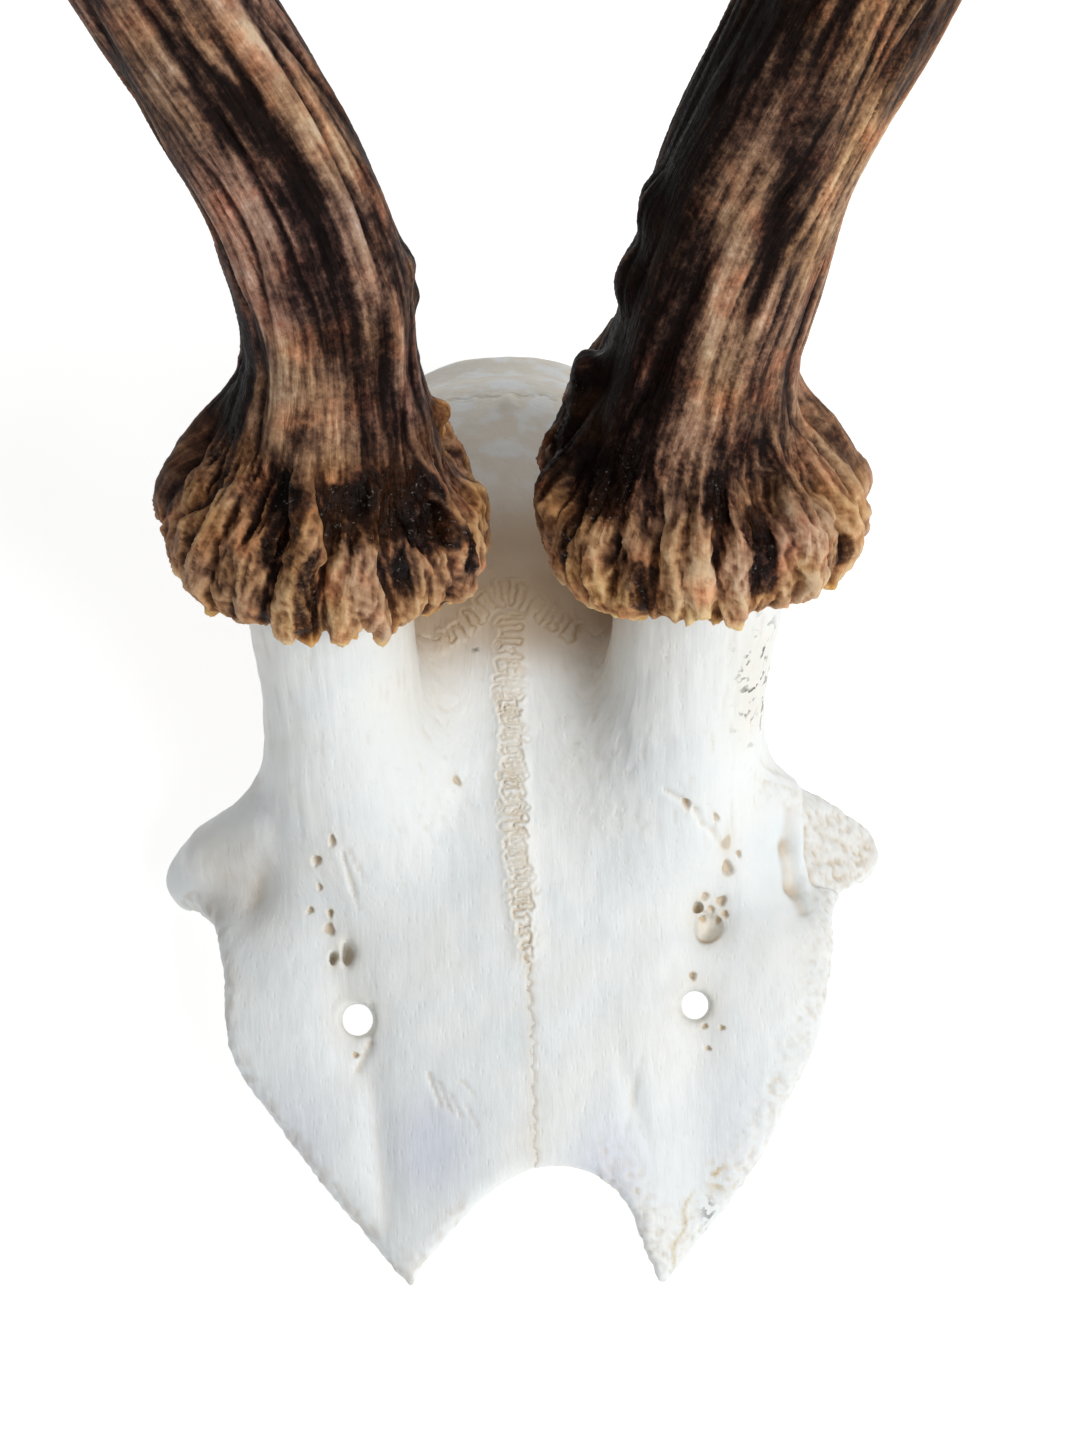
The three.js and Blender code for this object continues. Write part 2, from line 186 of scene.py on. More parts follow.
class Skin:
    """A closed mesh of polygons held as arrays."""

    def __init__(self, pts, quads):
        self.p = pts.astype(float)
        self.lv = quads.ravel()
        self.start = np.arange(len(quads)) * 4
        self.total = np.full(len(quads), 4)

    def faces(self):
        face = np.repeat(np.arange(len(self.start)), self.total)
        nxt = np.arange(len(self.lv)) + 1
        nxt[self.start + self.total - 1] = self.start
        return face, self.lv[nxt]

    def normals(self):
        face, vn = self.faces()
        c = np.cross(self.p[self.lv], self.p[vn])
        fn = np.add.reduceat(c, self.start)
        n = np.stack([np.bincount(self.lv, fn[face, k], len(self.p)) for k in range(3)], 1)
        return (n / (np.linalg.norm(n, axis=1, keepdims=True) + 1e-12)).astype(F32)

    def averaged(self, values, times=1, amount=0.5):
        """Values on the vertices, smoothed over the surface."""
        face = np.repeat(np.arange(len(self.start)), self.total)
        count = np.maximum(np.bincount(self.lv, minlength=len(self.p)), 1)
        v = np.array(values, float).reshape(len(self.p), -1)
        for _ in range(times):
            mean = np.add.reduceat(v[self.lv], self.start) / self.total[:, None]
            back = np.stack([np.bincount(self.lv, mean[face, k], len(self.p)) for k in range(v.shape[1])], 1) / count[:, None]
            v = v + amount * (back - v)
        return v.reshape(np.shape(values))

    def cavity(self, reach=4):
        """Above 0 in hollows, below 0 on ridges, in millimetres."""
        n = self.normals()
        return ((self.averaged(self.p, reach, 0.9) - self.p) * n).sum(1).astype(F32)

    def refine(self, pick, cuts):
        """Cuts the picked faces finer; the faces around them follow."""
        import bmesh
        me = bpy.data.meshes.new("refine")
        me.from_pydata(self.p.tolist(), [], np.split(self.lv, self.start[1:]) if (self.total != 4).any() else self.lv.reshape(-1, 4).tolist())
        bm = bmesh.new()
        bm.from_mesh(me)
        bm.faces.ensure_lookup_table()
        edges = list({e for i in np.flatnonzero(pick) for e in bm.faces[i].edges})
        bmesh.ops.subdivide_edges(bm, edges=edges, cuts=cuts, use_grid_fill=True)
        bm.to_mesh(me)
        bm.free()
        n, loops, polys = len(me.vertices), len(me.loops), len(me.polygons)
        co = np.empty(n * 3, F32)
        me.vertices.foreach_get("co", co)
        lv, start, total = np.empty(loops, np.int32), np.empty(polys, np.int32), np.empty(polys, np.int32)
        me.loops.foreach_get("vertex_index", lv)
        me.polygons.foreach_get("loop_start", start)
        me.polygons.foreach_get("loop_total", total)
        bpy.data.meshes.remove(me)
        self.p, self.lv, self.start, self.total = co.reshape(-1, 3).astype(float), lv.astype(int), start.astype(int), total.astype(int)

    def fit(self, f, times=2, limit=0.25):
        """Moves the vertices onto f = 0."""
        for _ in range(times):
            n = self.normals()
            self.p -= np.clip(run(f, self.p), -limit, limit)[:, None] * n


# ------------------------------------------------------------------ bent axes
class Axis:
    def __init__(self, points, step=0.8):
        p = np.array(points, float)
        ext = np.vstack([2 * p[0] - p[1], p, 2 * p[-1] - p[-2]])
        out = []
        for i in range(len(p) - 1):  # centripetal Catmull-Rom
            p0, p1, p2, p3 = ext[i : i + 4]
            t0 = 0.0
            t1 = t0 + np.linalg.norm(p1 - p0) ** 0.5
            t2 = t1 + np.linalg.norm(p2 - p1) ** 0.5
            t3 = t2 + np.linalg.norm(p3 - p2) ** 0.5
            t = np.linspace(t1, t2, 40, endpoint=False)[:, None]
            a1 = (t1 - t) / (t1 - t0) * p0 + (t - t0) / (t1 - t0) * p1
            a2 = (t2 - t) / (t2 - t1) * p1 + (t - t1) / (t2 - t1) * p2
            a3 = (t3 - t) / (t3 - t2) * p2 + (t - t2) / (t3 - t2) * p3
            b1 = (t2 - t) / (t2 - t0) * a1 + (t - t0) / (t2 - t0) * a2
            b2 = (t3 - t) / (t3 - t1) * a2 + (t - t1) / (t3 - t1) * a3
            out.append((t2 - t) / (t2 - t1) * b1 + (t - t1) / (t2 - t1) * b2)
        d = np.vstack([*out, p[-1:]])
        s = np.concatenate([[0], np.cumsum(np.linalg.norm(np.diff(d, axis=0), axis=1))])
        self.length = s[-1]
        n = int(self.length / step) + 2
        self.s = np.linspace(0, self.length, n)
        self.step = self.s[1]
        self.p = np.stack([np.interp(self.s, s, d[:, c]) for c in range(3)], 1)
        t = np.gradient(self.p, axis=0)
        self.t = t / np.linalg.norm(t, axis=1, keepdims=True)
        fwd = np.array([0, -1, 0.2])
        nn = fwd - (self.t @ fwd)[:, None] * self.t
        self.n = nn / np.linalg.norm(nn, axis=1, keepdims=True)
        self.b = np.cross(self.t, self.n)
        for k in ("s", "p", "t", "n", "b"):
            setattr(self, k, getattr(self, k).astype(F32))
        self.pp = (self.p**2).sum(1)

    def project(self, P):
        """Arc length, distance from the axis, turn about it, and how far beyond an end."""
        i = (self.pp - 2 * (P @ self.p.T)).argmin(1)
        v = P - self.p[i]
        ds = np.einsum("ij,ij->i", v, self.t[i])
        end = ((i == 0) & (ds < 0)) | ((i == len(self.s) - 1) & (ds > 0))
        beyond = np.where(end & (ds > 0), ds, 0)
        w = v - self.t[i] * ds[:, None]
        rho = np.sqrt((w * w).sum(1))
        turn = np.arctan2(np.einsum("ij,ij->i", w, self.b[i]), np.einsum("ij,ij->i", w, self.n[i]))
        s = self.s[i] + np.where(end, ds, np.clip(ds, -self.step, self.step))
        return s, rho, turn, beyond, i

    def at(self, s, rho, turn):
        """The point at arc length s, rho from the axis, turned by turn about it."""
        i = np.interp(s, self.s, np.arange(len(self.s)))
        k = np.clip(np.round(i).astype(int), 0, len(self.s) - 1)
        base = self.p[k] + self.t[k] * (s - self.s[k])[..., None]
        return base + (self.n[k] * np.cos(turn)[..., None] + self.b[k] * np.sin(turn)[..., None]) * rho[..., None]


def capsule(P, a, b, ra, rb):
    ab = b - a
    t = np.clip(((P - a) @ ab) / (ab @ ab), 0, 1)
    d = P - a - t[:, None] * ab
    return np.sqrt((d * d).sum(1)) - (ra + (rb - ra) * t)


# ------------------------------------------------------------------ the bone
RIGHT_EDGE = [[14.6, -63.2], [19.0, -58.2], [24.0, -52.2], [28.8, -46.2], [32.9, -40.4], [35.7, -36.0], [36.4, -31.0], [36.6, -25.5], [38.0, -19.4], [42.0, -14.4], [44.8, -10.4], [42.6, -7.2], [38.0, -5.5], [32.4, -4.9], [29.2, -2.2], [28.2, 3.0]]
LEFT_EDGE = [[15.2, -63.4], [19.4, -59.0], [24.2, -53.8], [28.4, -48.2], [31.6, -42.8], [34.4, -38.2], [36.2, -32.6], [37.5, -26.0], [38.6, -19.6], [42.8, -14.6], [45.2, -11.0], [44.0, -7.8], [38.4, -6.2], [32.4, -5.6], [29.2, -3.4], [28.2, 3.0]]
NOTCH = [[-15.6, -66], [-14.0, -61.2], [-11.2, -58.4], [-8.5, -55.7], [-5.6, -53.2], [-3.2, -51.8], [-0.3, -50.6], [3.6, -50.3], [7.3, -51.1], [10.0, -53.0], [11.8, -55.4], [12.7, -58.0], [13.9, -61.2], [15.9, -66]]
MID = [[-68, 6.0], [-56, 10.5], [-48, 13.7], [-40, 16.4], [-33, 18.7], [-28, 20.4], [-20, 23.1], [-10, 26.3], [-5, 27.8], [5, 30.3], [16, 31.6]]
GROOVE_X = [[-66, 16.6], [-56, 17.8], [-48, 18.5], [-40, 19.3], [-33, 20.3], [-28, 21.5], [-20, 23.0], [-10, 22.5], [0, 22.0]]
GROOVE_Z = [[-66, 2.9], [-63, 3.8], [-56, 7.0], [-48, 10.5], [-40, 13.6], [-33, 16.2], [-28, 17.6], [-20, 19.4], [-10, 21.5], [0, 22.5]]
RIM_Z = [[-66, 2.6], [-63, 3.2], [-56, 6.0], [-48, 9.6], [-40, 12.6], [-33, 15.2], [-28, 16.4], [-20, 15.0], [-15, 9.4], [-10.5, 6.4], [-6, 9.0], [-3, 14.0], [3, 18.0]]
DROP = [[-20, 8.4], [-10.5, 20.0], [-4, 17.0], [6, 16.0]]
DROP_HALF = [[-20, 38.0], [-10.5, 44.6], [-4, 38.0], [6, 33.0]]
VAULT_C, VAULT_R, VAULT_P = np.array([0, 26.4, -4.5], F32), np.array([29.4, 31.6, 37.0], F32), 2.25
CREST_C, CREST_R = np.array([0, 48.8, 13.0], F32), np.array([14.0, 9.2, 4.8], F32)
TILT = math.radians(52)
EYE = np.array([3.17, -103.32, 297.98])


def smooth_line(rows, n=8):
    p = np.array(rows, float)
    e = np.vstack([2 * p[0] - p[1], p, 2 * p[-1] - p[-2]])
    out = []
    for i in range(len(p) - 1):
        a, b, c, d = e[i : i + 4]
        t = np.linspace(0, 1, n, endpoint=False)[:, None]
        out.append(0.5 * (2 * b + (c - a) * t + (2 * a - 5 * b + 4 * c - d) * t**2 + (3 * b - a - 3 * c + d) * t**3))
    return np.vstack([*out, p[-1:]])


def polygon_distance(q, poly):
    """Signed distance in the plane, negative inside."""
    a, b = poly, np.roll(poly, -1, 0)
    best = np.full(len(q), 1e9)
    inside = np.zeros(len(q), bool)
    for (ax, ay), (bx, by) in zip(a, b):
        ex, ey = bx - ax, by - ay
        t = np.clip(((q[:, 0] - ax) * ex + (q[:, 1] - ay) * ey) / (ex * ex + ey * ey + 1e-9), 0, 1)
        best = np.minimum(best, (q[:, 0] - ax - t * ex) ** 2 + (q[:, 1] - ay - t * ey) ** 2)
        if ay != by:
            inside ^= ((ay > q[:, 1]) != (by > q[:, 1])) & (q[:, 0] < (bx - ax) * (q[:, 1] - ay) / (by - ay) + ax)
    return np.where(inside, -1, 1) * np.sqrt(best)


# plan-view maps of the roof: top, top slope factor, outline distance, underside
MX0, MY0, MSTEP = -50.0, -70.0, 0.25
_gx, _gy = np.meshgrid(np.arange(MX0, 50.01, MSTEP), np.arange(MY0, 24.01, MSTEP))
_q = np.stack([_gx.ravel(), _gy.ravel()], 1)


def half_width(side, y):
    rows = smooth_line(RIGHT_EDGE if side < 0 else LEFT_EDGE)
    order = np.argsort(rows[:, 1])
    return np.interp(y, rows[order, 1], rows[order, 0])


def roof_top(x, y):
    a = np.abs(x)
    mid, gx, gz, rim = table(MID, y), table(GROOVE_X, y), table(GROOVE_Z, y), table(RIM_Z, y)
    hw = np.where(x < 0, half_width(-1, y), half_width(1, y))
    zi = mid - (mid - gz) * (a / gx) ** 2.3
    t = np.clip(smax((a - gx) / np.maximum(hw - gx, 2.5), np.zeros_like(a), 0.3), 0, 1.15)
    near = bump01((y + 10.5) / 7.5)
    pw = 1.2 + 1.3 * near
    zo = gz + (rim - gz) * t**pw + (1 - near) * 3.2 * t * np.clip(1 - t, 0, 1) * ramp(y, -60, -46)
    h = smax(zi, zo, 2.6)
    hc = mid - table(DROP, y) * (a / table(DROP_HALF, y)) ** 3.3
    b = ramp(y, -13, -3)
    return h * (1 - b) + hc * b


_top = roof_top(_q[:, 0], _q[:, 1])
_edge_r, _edge_l = smooth_line(RIGHT_EDGE), smooth_line(LEFT_EDGE)
_outline = np.vstack([_edge_r * [-1, 1], [[-26, 10], [-18, 17], [18, 17], [26, 10]], _edge_l[::-1]])
_notch = np.vstack([[-16, -80], smooth_line(NOTCH), [16, -80]])
_plan = smax(polygon_distance(_q, _outline), -polygon_distance(_q, _notch), 0.9)
_thick = 2.5 + 1.8 * ramp(-_plan, 0, 9) + 2.6 * bump01((_q[:, 1] + 10.5) / 6.0) * ramp(np.abs(_q[:, 0]), 24, 34)
_under = _top - _thick
_shape = _gx.shape
_H = _top.reshape(_shape)
_sy, _sx = np.gradient(_H, MSTEP)
_maps = np.stack([_H, 1 / np.sqrt(1 + np.minimum(_sx**2 + _sy**2, 6)), _plan.reshape(_shape), _under.reshape(_shape), _sx, _sy], -1).astype(F32)


def plan_maps(x, y):
    u = np.clip((x - MX0) / MSTEP, 0, _shape[1] - 1.001)
    v = np.clip((y - MY0) / MSTEP, 0, _shape[0] - 1.001)
    i, j = u.astype(np.int32), v.astype(np.int32)
    fu, fv = (u - i)[:, None].astype(F32), (v - j)[:, None].astype(F32)
    return (_maps[j, i] * (1 - fu) + _maps[j, i + 1] * fu) * (1 - fv) + (_maps[j + 1, i] * (1 - fu) + _maps[j + 1, i + 1] * fu) * fv


def leaning(x, s):
    return [x, 7.7 + s * math.cos(TILT), 40.4 + s * math.sin(TILT)]


PEDICLES = {}
for _side, _foot, _head in ((-1, 19.5, leaning(-20.8, 8.6)), (1, 18.9, leaning(22.9, 8.5))):
    _a, _b = np.array([_side * _foot, -5.4, 21.0]), np.array(_head)
    PEDICLES[_side] = (_a.astype(F32), ((_b - _a) / np.linalg.norm(_b - _a)).astype(F32), float(np.linalg.norm(_b - _a)))

# openings and pits: x, y, radius, long factor, depth below the surface (99 goes through), turn of the long axis
PITS = [
    (-20.1, -32.6, 1.78, 1.0, 99, 0), (20.3, -32.6, 1.72, 1.0, 99, 0),
    (-20.9, -25.0, 0.85, 1.7, 2.9, 0.15), (-22.7, -25.3, 0.58, 1.5, 2.2, 0), (-23.1, -22.1, 0.54, 1.1, 1.7, 0), (-22.9, -20.4, 0.36, 1, 1.5, 0),
    (-25.3, -19.9, 0.34, 1, 1.3, 0), (-24.2, -15.1, 0.46, 1, 1.8, 0), (-22.0, -13.6, 0.42, 1, 1.5, 0), (-20.5, -36.5, 0.3, 1, 1.2, 0), (-24.0, -17.6, 0.3, 1, 1.0, 0),
    (24.9, -14.7, 0.60, 1.5, 1.5, -0.25), (25.0, -17.2, 0.54, 1.3, 1.6, 0.3), (20.0, -11.7, 0.42, 1, 1.6, 0), (22.3, -23.6, 1.5, 1.12, 1.7, 0.5), (21.2, -21.2, 0.56, 1, 1.6, 0), (22.2, -20.2, 0.36, 1, 1.0, 0), (22.9, -21.5, 0.34, 1, 1.0, 0), (21.9, -22.2, 0.3, 1, 0.8, 0), (23.5, -22.6, 0.3, 1, 0.8, 0),
    (24.1, -20.6, 0.5, 1, 1.4, 0), (24.4, -22.0, 0.38, 1, 1.0, 0), (20.2, -29.3, 0.36, 1, 1.4, 0), (21.4, -34.9, 0.3, 1, 1.1, 0), (23.4, -35.2, 0.28, 1, 1.0, 0), (21.7, -37.4, 0.26, 1, 1.0, 0),
    (23.6, -12.6, 0.3, 1, 1.0, 0), (26.4, -15.6, 0.28, 1, 1.0, 0), (-7.0, -6.9, 0.34, 1.6, 0.9, 0.4),
]
# shallow dishes and valleys: x, y, radius across, radius along, depth, turn
DISHES = [
    (-22.2, -28.0, 3.0, 8.0, 0.75, 0.1), (-20.3, -35.5, 3.0, 5.5, 0.8, 0.0), (22.5, -22.0, 2.9, 3.8, 1.3, 0.0), (20.9, -35.0, 3.0, 5.5, 0.75, 0.0), (-23.5, -17.5, 2.4, 6.0, 0.5, 0.2),
    (24.5, -16.0, 2.2, 5.0, 0.5, -0.1), (-31.0, -15.5, 2.5, 5.2, 1.5, -0.45), (33.2, -18.0, 2.0, 4.8, 1.1, -0.1), (-11.1, 3.0, 3.4, 8.0, 0.6, 0.0), (12.2, 1.5, 3.2, 8.0, 0.5, 0.0),
    (-18.1, -46, 2.0, 10.5, 0.70, 0.04), (12.4, -43, 1.2, 5.0, 0.45, 0.25), (20.6, -48.6, 3.0, 7.0, 0.4, 0.1), (-5.0, -37.0, 7.0, 9.0, 0.35, 0.0), (7.5, -36.0, 5.0, 9.0, 0.25, 0.0),
]


def dishes(x, y):
    out = 0
    for dx, dy, ra, rb, depth, turn in DISHES:
        c, s = math.cos(turn), math.sin(turn)
        u, v = (x - dx) * c + (y - dy) * s, -(x - dx) * s + (y - dy) * c
        out = out + depth * np.exp(-((u / ra) ** 2) - (v / rb) ** 2)
    return out


def pedicle_field(P, side, grow=0.0):
    a, d, length = PEDICLES[side]
    v = P - a
    h = v @ d
    w = v - h[:, None] * d
    w[:, 1] *= 1.04
    rho = np.sqrt((w * w).sum(1))
    r = table([[-18, 6.0], [-10, 9.4], [-2, 10.6], [6, 10.3], [15, 9.5], [length, 9.9]], h)
    return np.maximum(np.maximum((rho - r - grow) * 0.96, h - length - grow - 0.6), -18 - h), h, rho


ROOTS = {s: [np.array([s * 29.8, -8.2, 18.0], F32), np.array([s * 37.8, -10.0, 12.4], F32), np.array([s * 41.7, -11.2, 4.6], F32)] for s in (-1, 1)}


def bone_field(P):
    x, y, z = P[:, 0], P[:, 1], P[:, 2]
    m = plan_maps(x, y)
    top = m[:, 0] - dishes(x, y) * ramp(y, 14, 6)
    below = (m[:, 3] - z) * 0.93
    plate = smax((z - top) * m[:, 1], m[:, 2], 1.7)
    v = P - VAULT_C
    k = (np.abs(v / VAULT_R) ** VAULT_P).sum(1) ** (1 / VAULT_P)
    length = np.sqrt((v * v).sum(1))
    outer = length * (1 - 1 / np.maximum(k, 0.05))
    inner = outer + 3.6
    below = smin(below, outer - 2.5, 2.0)
    plate = smax(plate, below, 1.3)
    c = P - CREST_C
    ck = (np.abs(c / CREST_R) ** 2.2).sum(1) ** (1 / 2.2)
    crest = np.sqrt((c * c).sum(1)) * (1 - 1 / np.maximum(ck, 0.05))
    solid = smin(plate, outer, 4.5)
    solid = smin(solid, crest, 4.0)
    for side in (-1, 1):
        solid = smin(solid, smax(pedicle_field(P, side)[0], below - 0.5, 1.5), 7.0)
        r = ROOTS[side]
        solid = smin(solid, smin(capsule(P, r[0], r[1], 4.2, 3.3), capsule(P, r[1], r[2], 3.3, 2.4), 1.0), 3.2)
    a = np.abs(x)
    foot = table([[-45, 12.5], [-34, 15.5], [-22, 16.5], [-10, 15.5], [-2, 14.0]], y)
    walls = smax(np.abs(a - foot) - 1.3, np.abs(y + 23.5) - 21.5, 1.2)
    septum = smax(a - 1.4, np.abs(y + 17) - 13.0, 1.2)
    walls = np.maximum(np.minimum(walls, septum), z - m[:, 0] + 3.4)
    solid = smin(solid, walls, 2.4)
    solid = smax(solid, -inner, 1.0)
    solid = np.maximum(solid, y - 58.2)
    facet = (z - (13.4 - 0.85 * (x - 37.0) + 0.10 * (y + 11.0))) * 0.76
    solid = np.where(x > 32, smax(solid, smin(facet, smin(x - 34.6, y + 18.0, 2.5), 1.0), 0.7), solid)
    for px, py, r, long, depth, turn in PITS:
        if r < 0.55:
            continue
        near = (np.abs(x - px) < 9) & (np.abs(y - py) < 9)
        if not near.any():
            continue
        q = P[near]
        centre = np.array([px, py, float(roof_top(np.array([px]), np.array([py]))[0]) - float(dishes(px, py))])
        d = centre - EYE if depth > 50 else np.array([math.copysign(0.18, px), 0.15, -1.0])
        d = (d / np.linalg.norm(d)).astype(F32)
        w = q - centre.astype(F32)
        h = w @ d
        w = w - h[:, None] * d
        ca, sa = math.cos(turn), math.sin(turn)
        u, t = w[:, 0] * ca + w[:, 1] * sa, (-w[:, 0] * sa + w[:, 1] * ca) / long
        if depth > 50:
            hole = np.sqrt(u * u + t * t) - r - 0.25 * np.exp(-((h / 1.2) ** 2))
            hole = np.maximum(hole, np.abs(h) - 8)
        else:
            ang = np.arctan2(t, u)
            wob = 1 + 0.10 * np.cos(2 * ang + 7 * px) + 0.08 * np.cos(3 * ang + 5 * py)
            kk = np.sqrt((u * u + t * t) / (r * wob) ** 2 + (h / depth) ** 2)
            hole = (kk - 1) * min(r, depth) * 0.9
        solid[near] = smax(solid[near], -hole, 0.35 if r < 0.8 else 0.7)
    return smax(solid, -z, 0.3)


# the sutures as drawn lines on the roof, in plan
def meander(path, amplitude, pitch, seed):
    """A line that folds in tongues to either side of a path of [x, y] points."""
    rng = np.random.default_rng(seed)
    p = smooth_line(path, 30)
    s = np.concatenate([[0], np.cumsum(np.linalg.norm(np.diff(p, axis=0), axis=1))])
    knots, at, side = [], 0.0, 1
    while at < s[-1]:
        grow = np.interp(at, s, np.interp(s / s[-1], np.linspace(0, 1, len(amplitude)), amplitude))
        w, a = pitch * rng.uniform(0.7, 1.35), grow * rng.uniform(0.45, 1.1)
        for u, v in ((0.02, 0.3), (-0.10, 0.86), (0.22, 1.08), (0.72, 1.0), (1.0, 0.72), (0.86, 0.22)):
            knots.append([at + u * w + rng.normal(0, 0.07), side * (v * a) + rng.normal(0, 0.10) * grow])
        at += w * 0.92
        side = -side
    k = smooth_line(knots, 6)
    i = np.interp(k[:, 0], s, np.arange(len(s)))
    base = np.stack([np.interp(i, np.arange(len(s)), p[:, c]) for c in (0, 1)], 1)
    tangent = np.stack([np.interp(i, np.arange(len(s)), np.gradient(p[:, c])) for c in (0, 1)], 1)
    tangent /= np.linalg.norm(tangent, axis=1, keepdims=True)
    return base + np.stack([-tangent[:, 1], tangent[:, 0]], 1) * k[:, 1:2]


def suture_x(y):
    y = np.asarray(y, float)
    return 0.15 + 0.25 * np.sin(y / 7.0) + np.interp(y, [-52, -27, -10, 2, 12], [0.55, 0.25, -0.35, -0.75, -0.5])


def seam_x(y):
    y = np.asarray(y, float)
    wave = np.sin(y * 2.9 + 1.3 * np.sin(y * 0.83)) + 0.5 * np.sin(y * 5.7 + 2.0)
    return suture_x(y) + wave * np.interp(y, [-40, -29, -24, 12], [0.17, 0.2, 0.55, 0.7])


def coronal_y(x):
    return 15.6 - 6.1 * (1 - np.exp(-((np.asarray(x, float) / 6.0) ** 2)))


_yy = np.linspace(-27.5, 12.5, 30)
_xx = np.linspace(-8.6, 8.2, 24)
_rng2 = np.random.default_rng(5)
LINES = [
    meander(np.stack([suture_x(_yy), _yy], 1), [0.35, 1.15, 1.75, 1.65, 1.55, 1.6, 1.9, 2.1, 1.8], 0.92, 3),
    meander(np.stack([suture_x(_yy[4:26]) + 0.35, _yy[4:26] + 0.4], 1), [0.8, 1.35, 1.2, 1.0, 0.9], 0.8, 8),
    meander(np.stack([_xx, coronal_y(_xx) - 0.5], 1), [1.0, 1.5, 1.7, 1.5, 1.9, 1.2], 1.15, 6),
]
for _ in range(17):  # small islands of bone in the suture
    _y0 = _rng2.uniform(-22, 9)
    _c = np.array([suture_x(_y0) + _rng2.choice([-1, 1]) * _rng2.uniform(1.2, 2.1), _y0])
    _t = np.linspace(0, 2 * np.pi, 26)
    _r = _rng2.uniform(0.28, 0.62) * (1 + 0.25 * np.sin(2 * _t + _rng2.uniform(0, 6)))
    LINES.append(_c + np.stack([np.cos(_t) * _r, np.sin(_t) * _r], 1))
LINE_POINTS = np.vstack(LINES)
SMALL_PITS = [p for p in PITS if p[2] < 0.55]


def line_distance(q, lines, reach=2.5):
    """Distance in plan from points q to a cloud of line samples, up to reach."""
    out = np.full(len(q), reach, F32)
    cell = {}
    key = np.floor(lines / reach).astype(int)
    for k, pt in zip(map(tuple, key), lines):
        cell.setdefault(k, []).append(pt)
    qk = np.floor(q / reach).astype(int)
    order = np.lexsort((qk[:, 1], qk[:, 0]))
    if not len(order):
        return out
    cuts = np.flatnonzero(np.any(np.diff(qk[order], axis=0) != 0, axis=1)) + 1
    for group in np.split(order, cuts):
        kx, ky = qk[group[0]]
        near = [pt for i in (-1, 0, 1) for j in (-1, 0, 1) for pt in cell.get((kx + i, ky + j), [])]
        if near:
            near = np.array(near)
            d = ((q[group, None, :] - near[None]) ** 2).sum(2).min(1)
            out[group] = np.minimum(np.sqrt(d), reach)
    return out


# ------------------------------------------------------------------ the antlers
FORKS = [103.0, 151.0]
FRONT_RADIUS = [[0, 7.6], [16, 6.6], [34, 4.6], [48, 2.6], [58, 0.8]]
REAR_RADIUS = [[0, 6.6], [14, 5.4], [28, 3.6], [38, 2.0], [46, 0.8]]
RADIUS = {
    -1: [[20, 10.5], [24, 10.1], [38, 9.9], [47, 9.5], [57, 9.3], [66, 9.0], [82, 8.9], [96, 8.8], [108, 8.6], [120, 7.9], [134, 7.2], [149, 7.2], [166, 5.7], [190, 3.8], [205, 2.4], [214, 0.9]],
    1: [[20, 11.2], [24, 10.8], [38, 10.9], [47, 10.7], [57, 10.6], [66, 10.7], [82, 10.1], [96, 9.4], [108, 9.2], [120, 8.5], [134, 7.6], [149, 7.5], [166, 5.9], [190, 3.9], [205, 2.5], [213, 0.9]],
}
LEAN = {
    -1: [[-20.8, 8.6], [-20.0, 17.3], [-18.5, 26.9], [-18.1, 36.5], [-18.6, 43.2], [-20.0, 49.0], [-21.9, 54.8], [-26.6, 65.3], [-30.6, 73.0], [-37.4, 86.5]],
    1: [[22.9, 8.5], [22.4, 18.3], [22.1, 26.9], [23.4, 35.6], [24.7, 41.3], [26.6, 48.6], [28.8, 54.8], [33.9, 65.3], [36.4, 70.2], [44.4, 86.5]],
}
UPPER = {
    -1: [[-44, 68.2, 124], [-51, 75.5, 147], [-55, 80, 170], [-56.5, 83, 195], [-55, 83, 217], [-51.5, 81, 236]],
    1: [[50.2, 68, 124], [56.2, 75, 147], [59.6, 79.4, 170], [60.4, 82, 195], [58.6, 82.4, 217], [54.6, 80.4, 235]],
}
FRONT = {-1: [[-45.4, 69.8, 129], [-47.6, 60.6, 140], [-47.8, 52.2, 155], [-45.6, 47.2, 174]], 1: [[51.6, 69.4, 129], [53.4, 60, 141], [53, 51.4, 157], [50.4, 46.4, 177]]}
REAR = {-1: [[-55.3, 80.6, 173], [-58.6, 90, 181], [-61.6, 98.6, 191], [-62.6, 105, 204]], 1: [[59.8, 80, 173], [63.4, 89.4, 180.6], [66.2, 98, 190], [67.2, 104.4, 202.6]]}
BURR = {-1: 18.6, 1: 18.8}
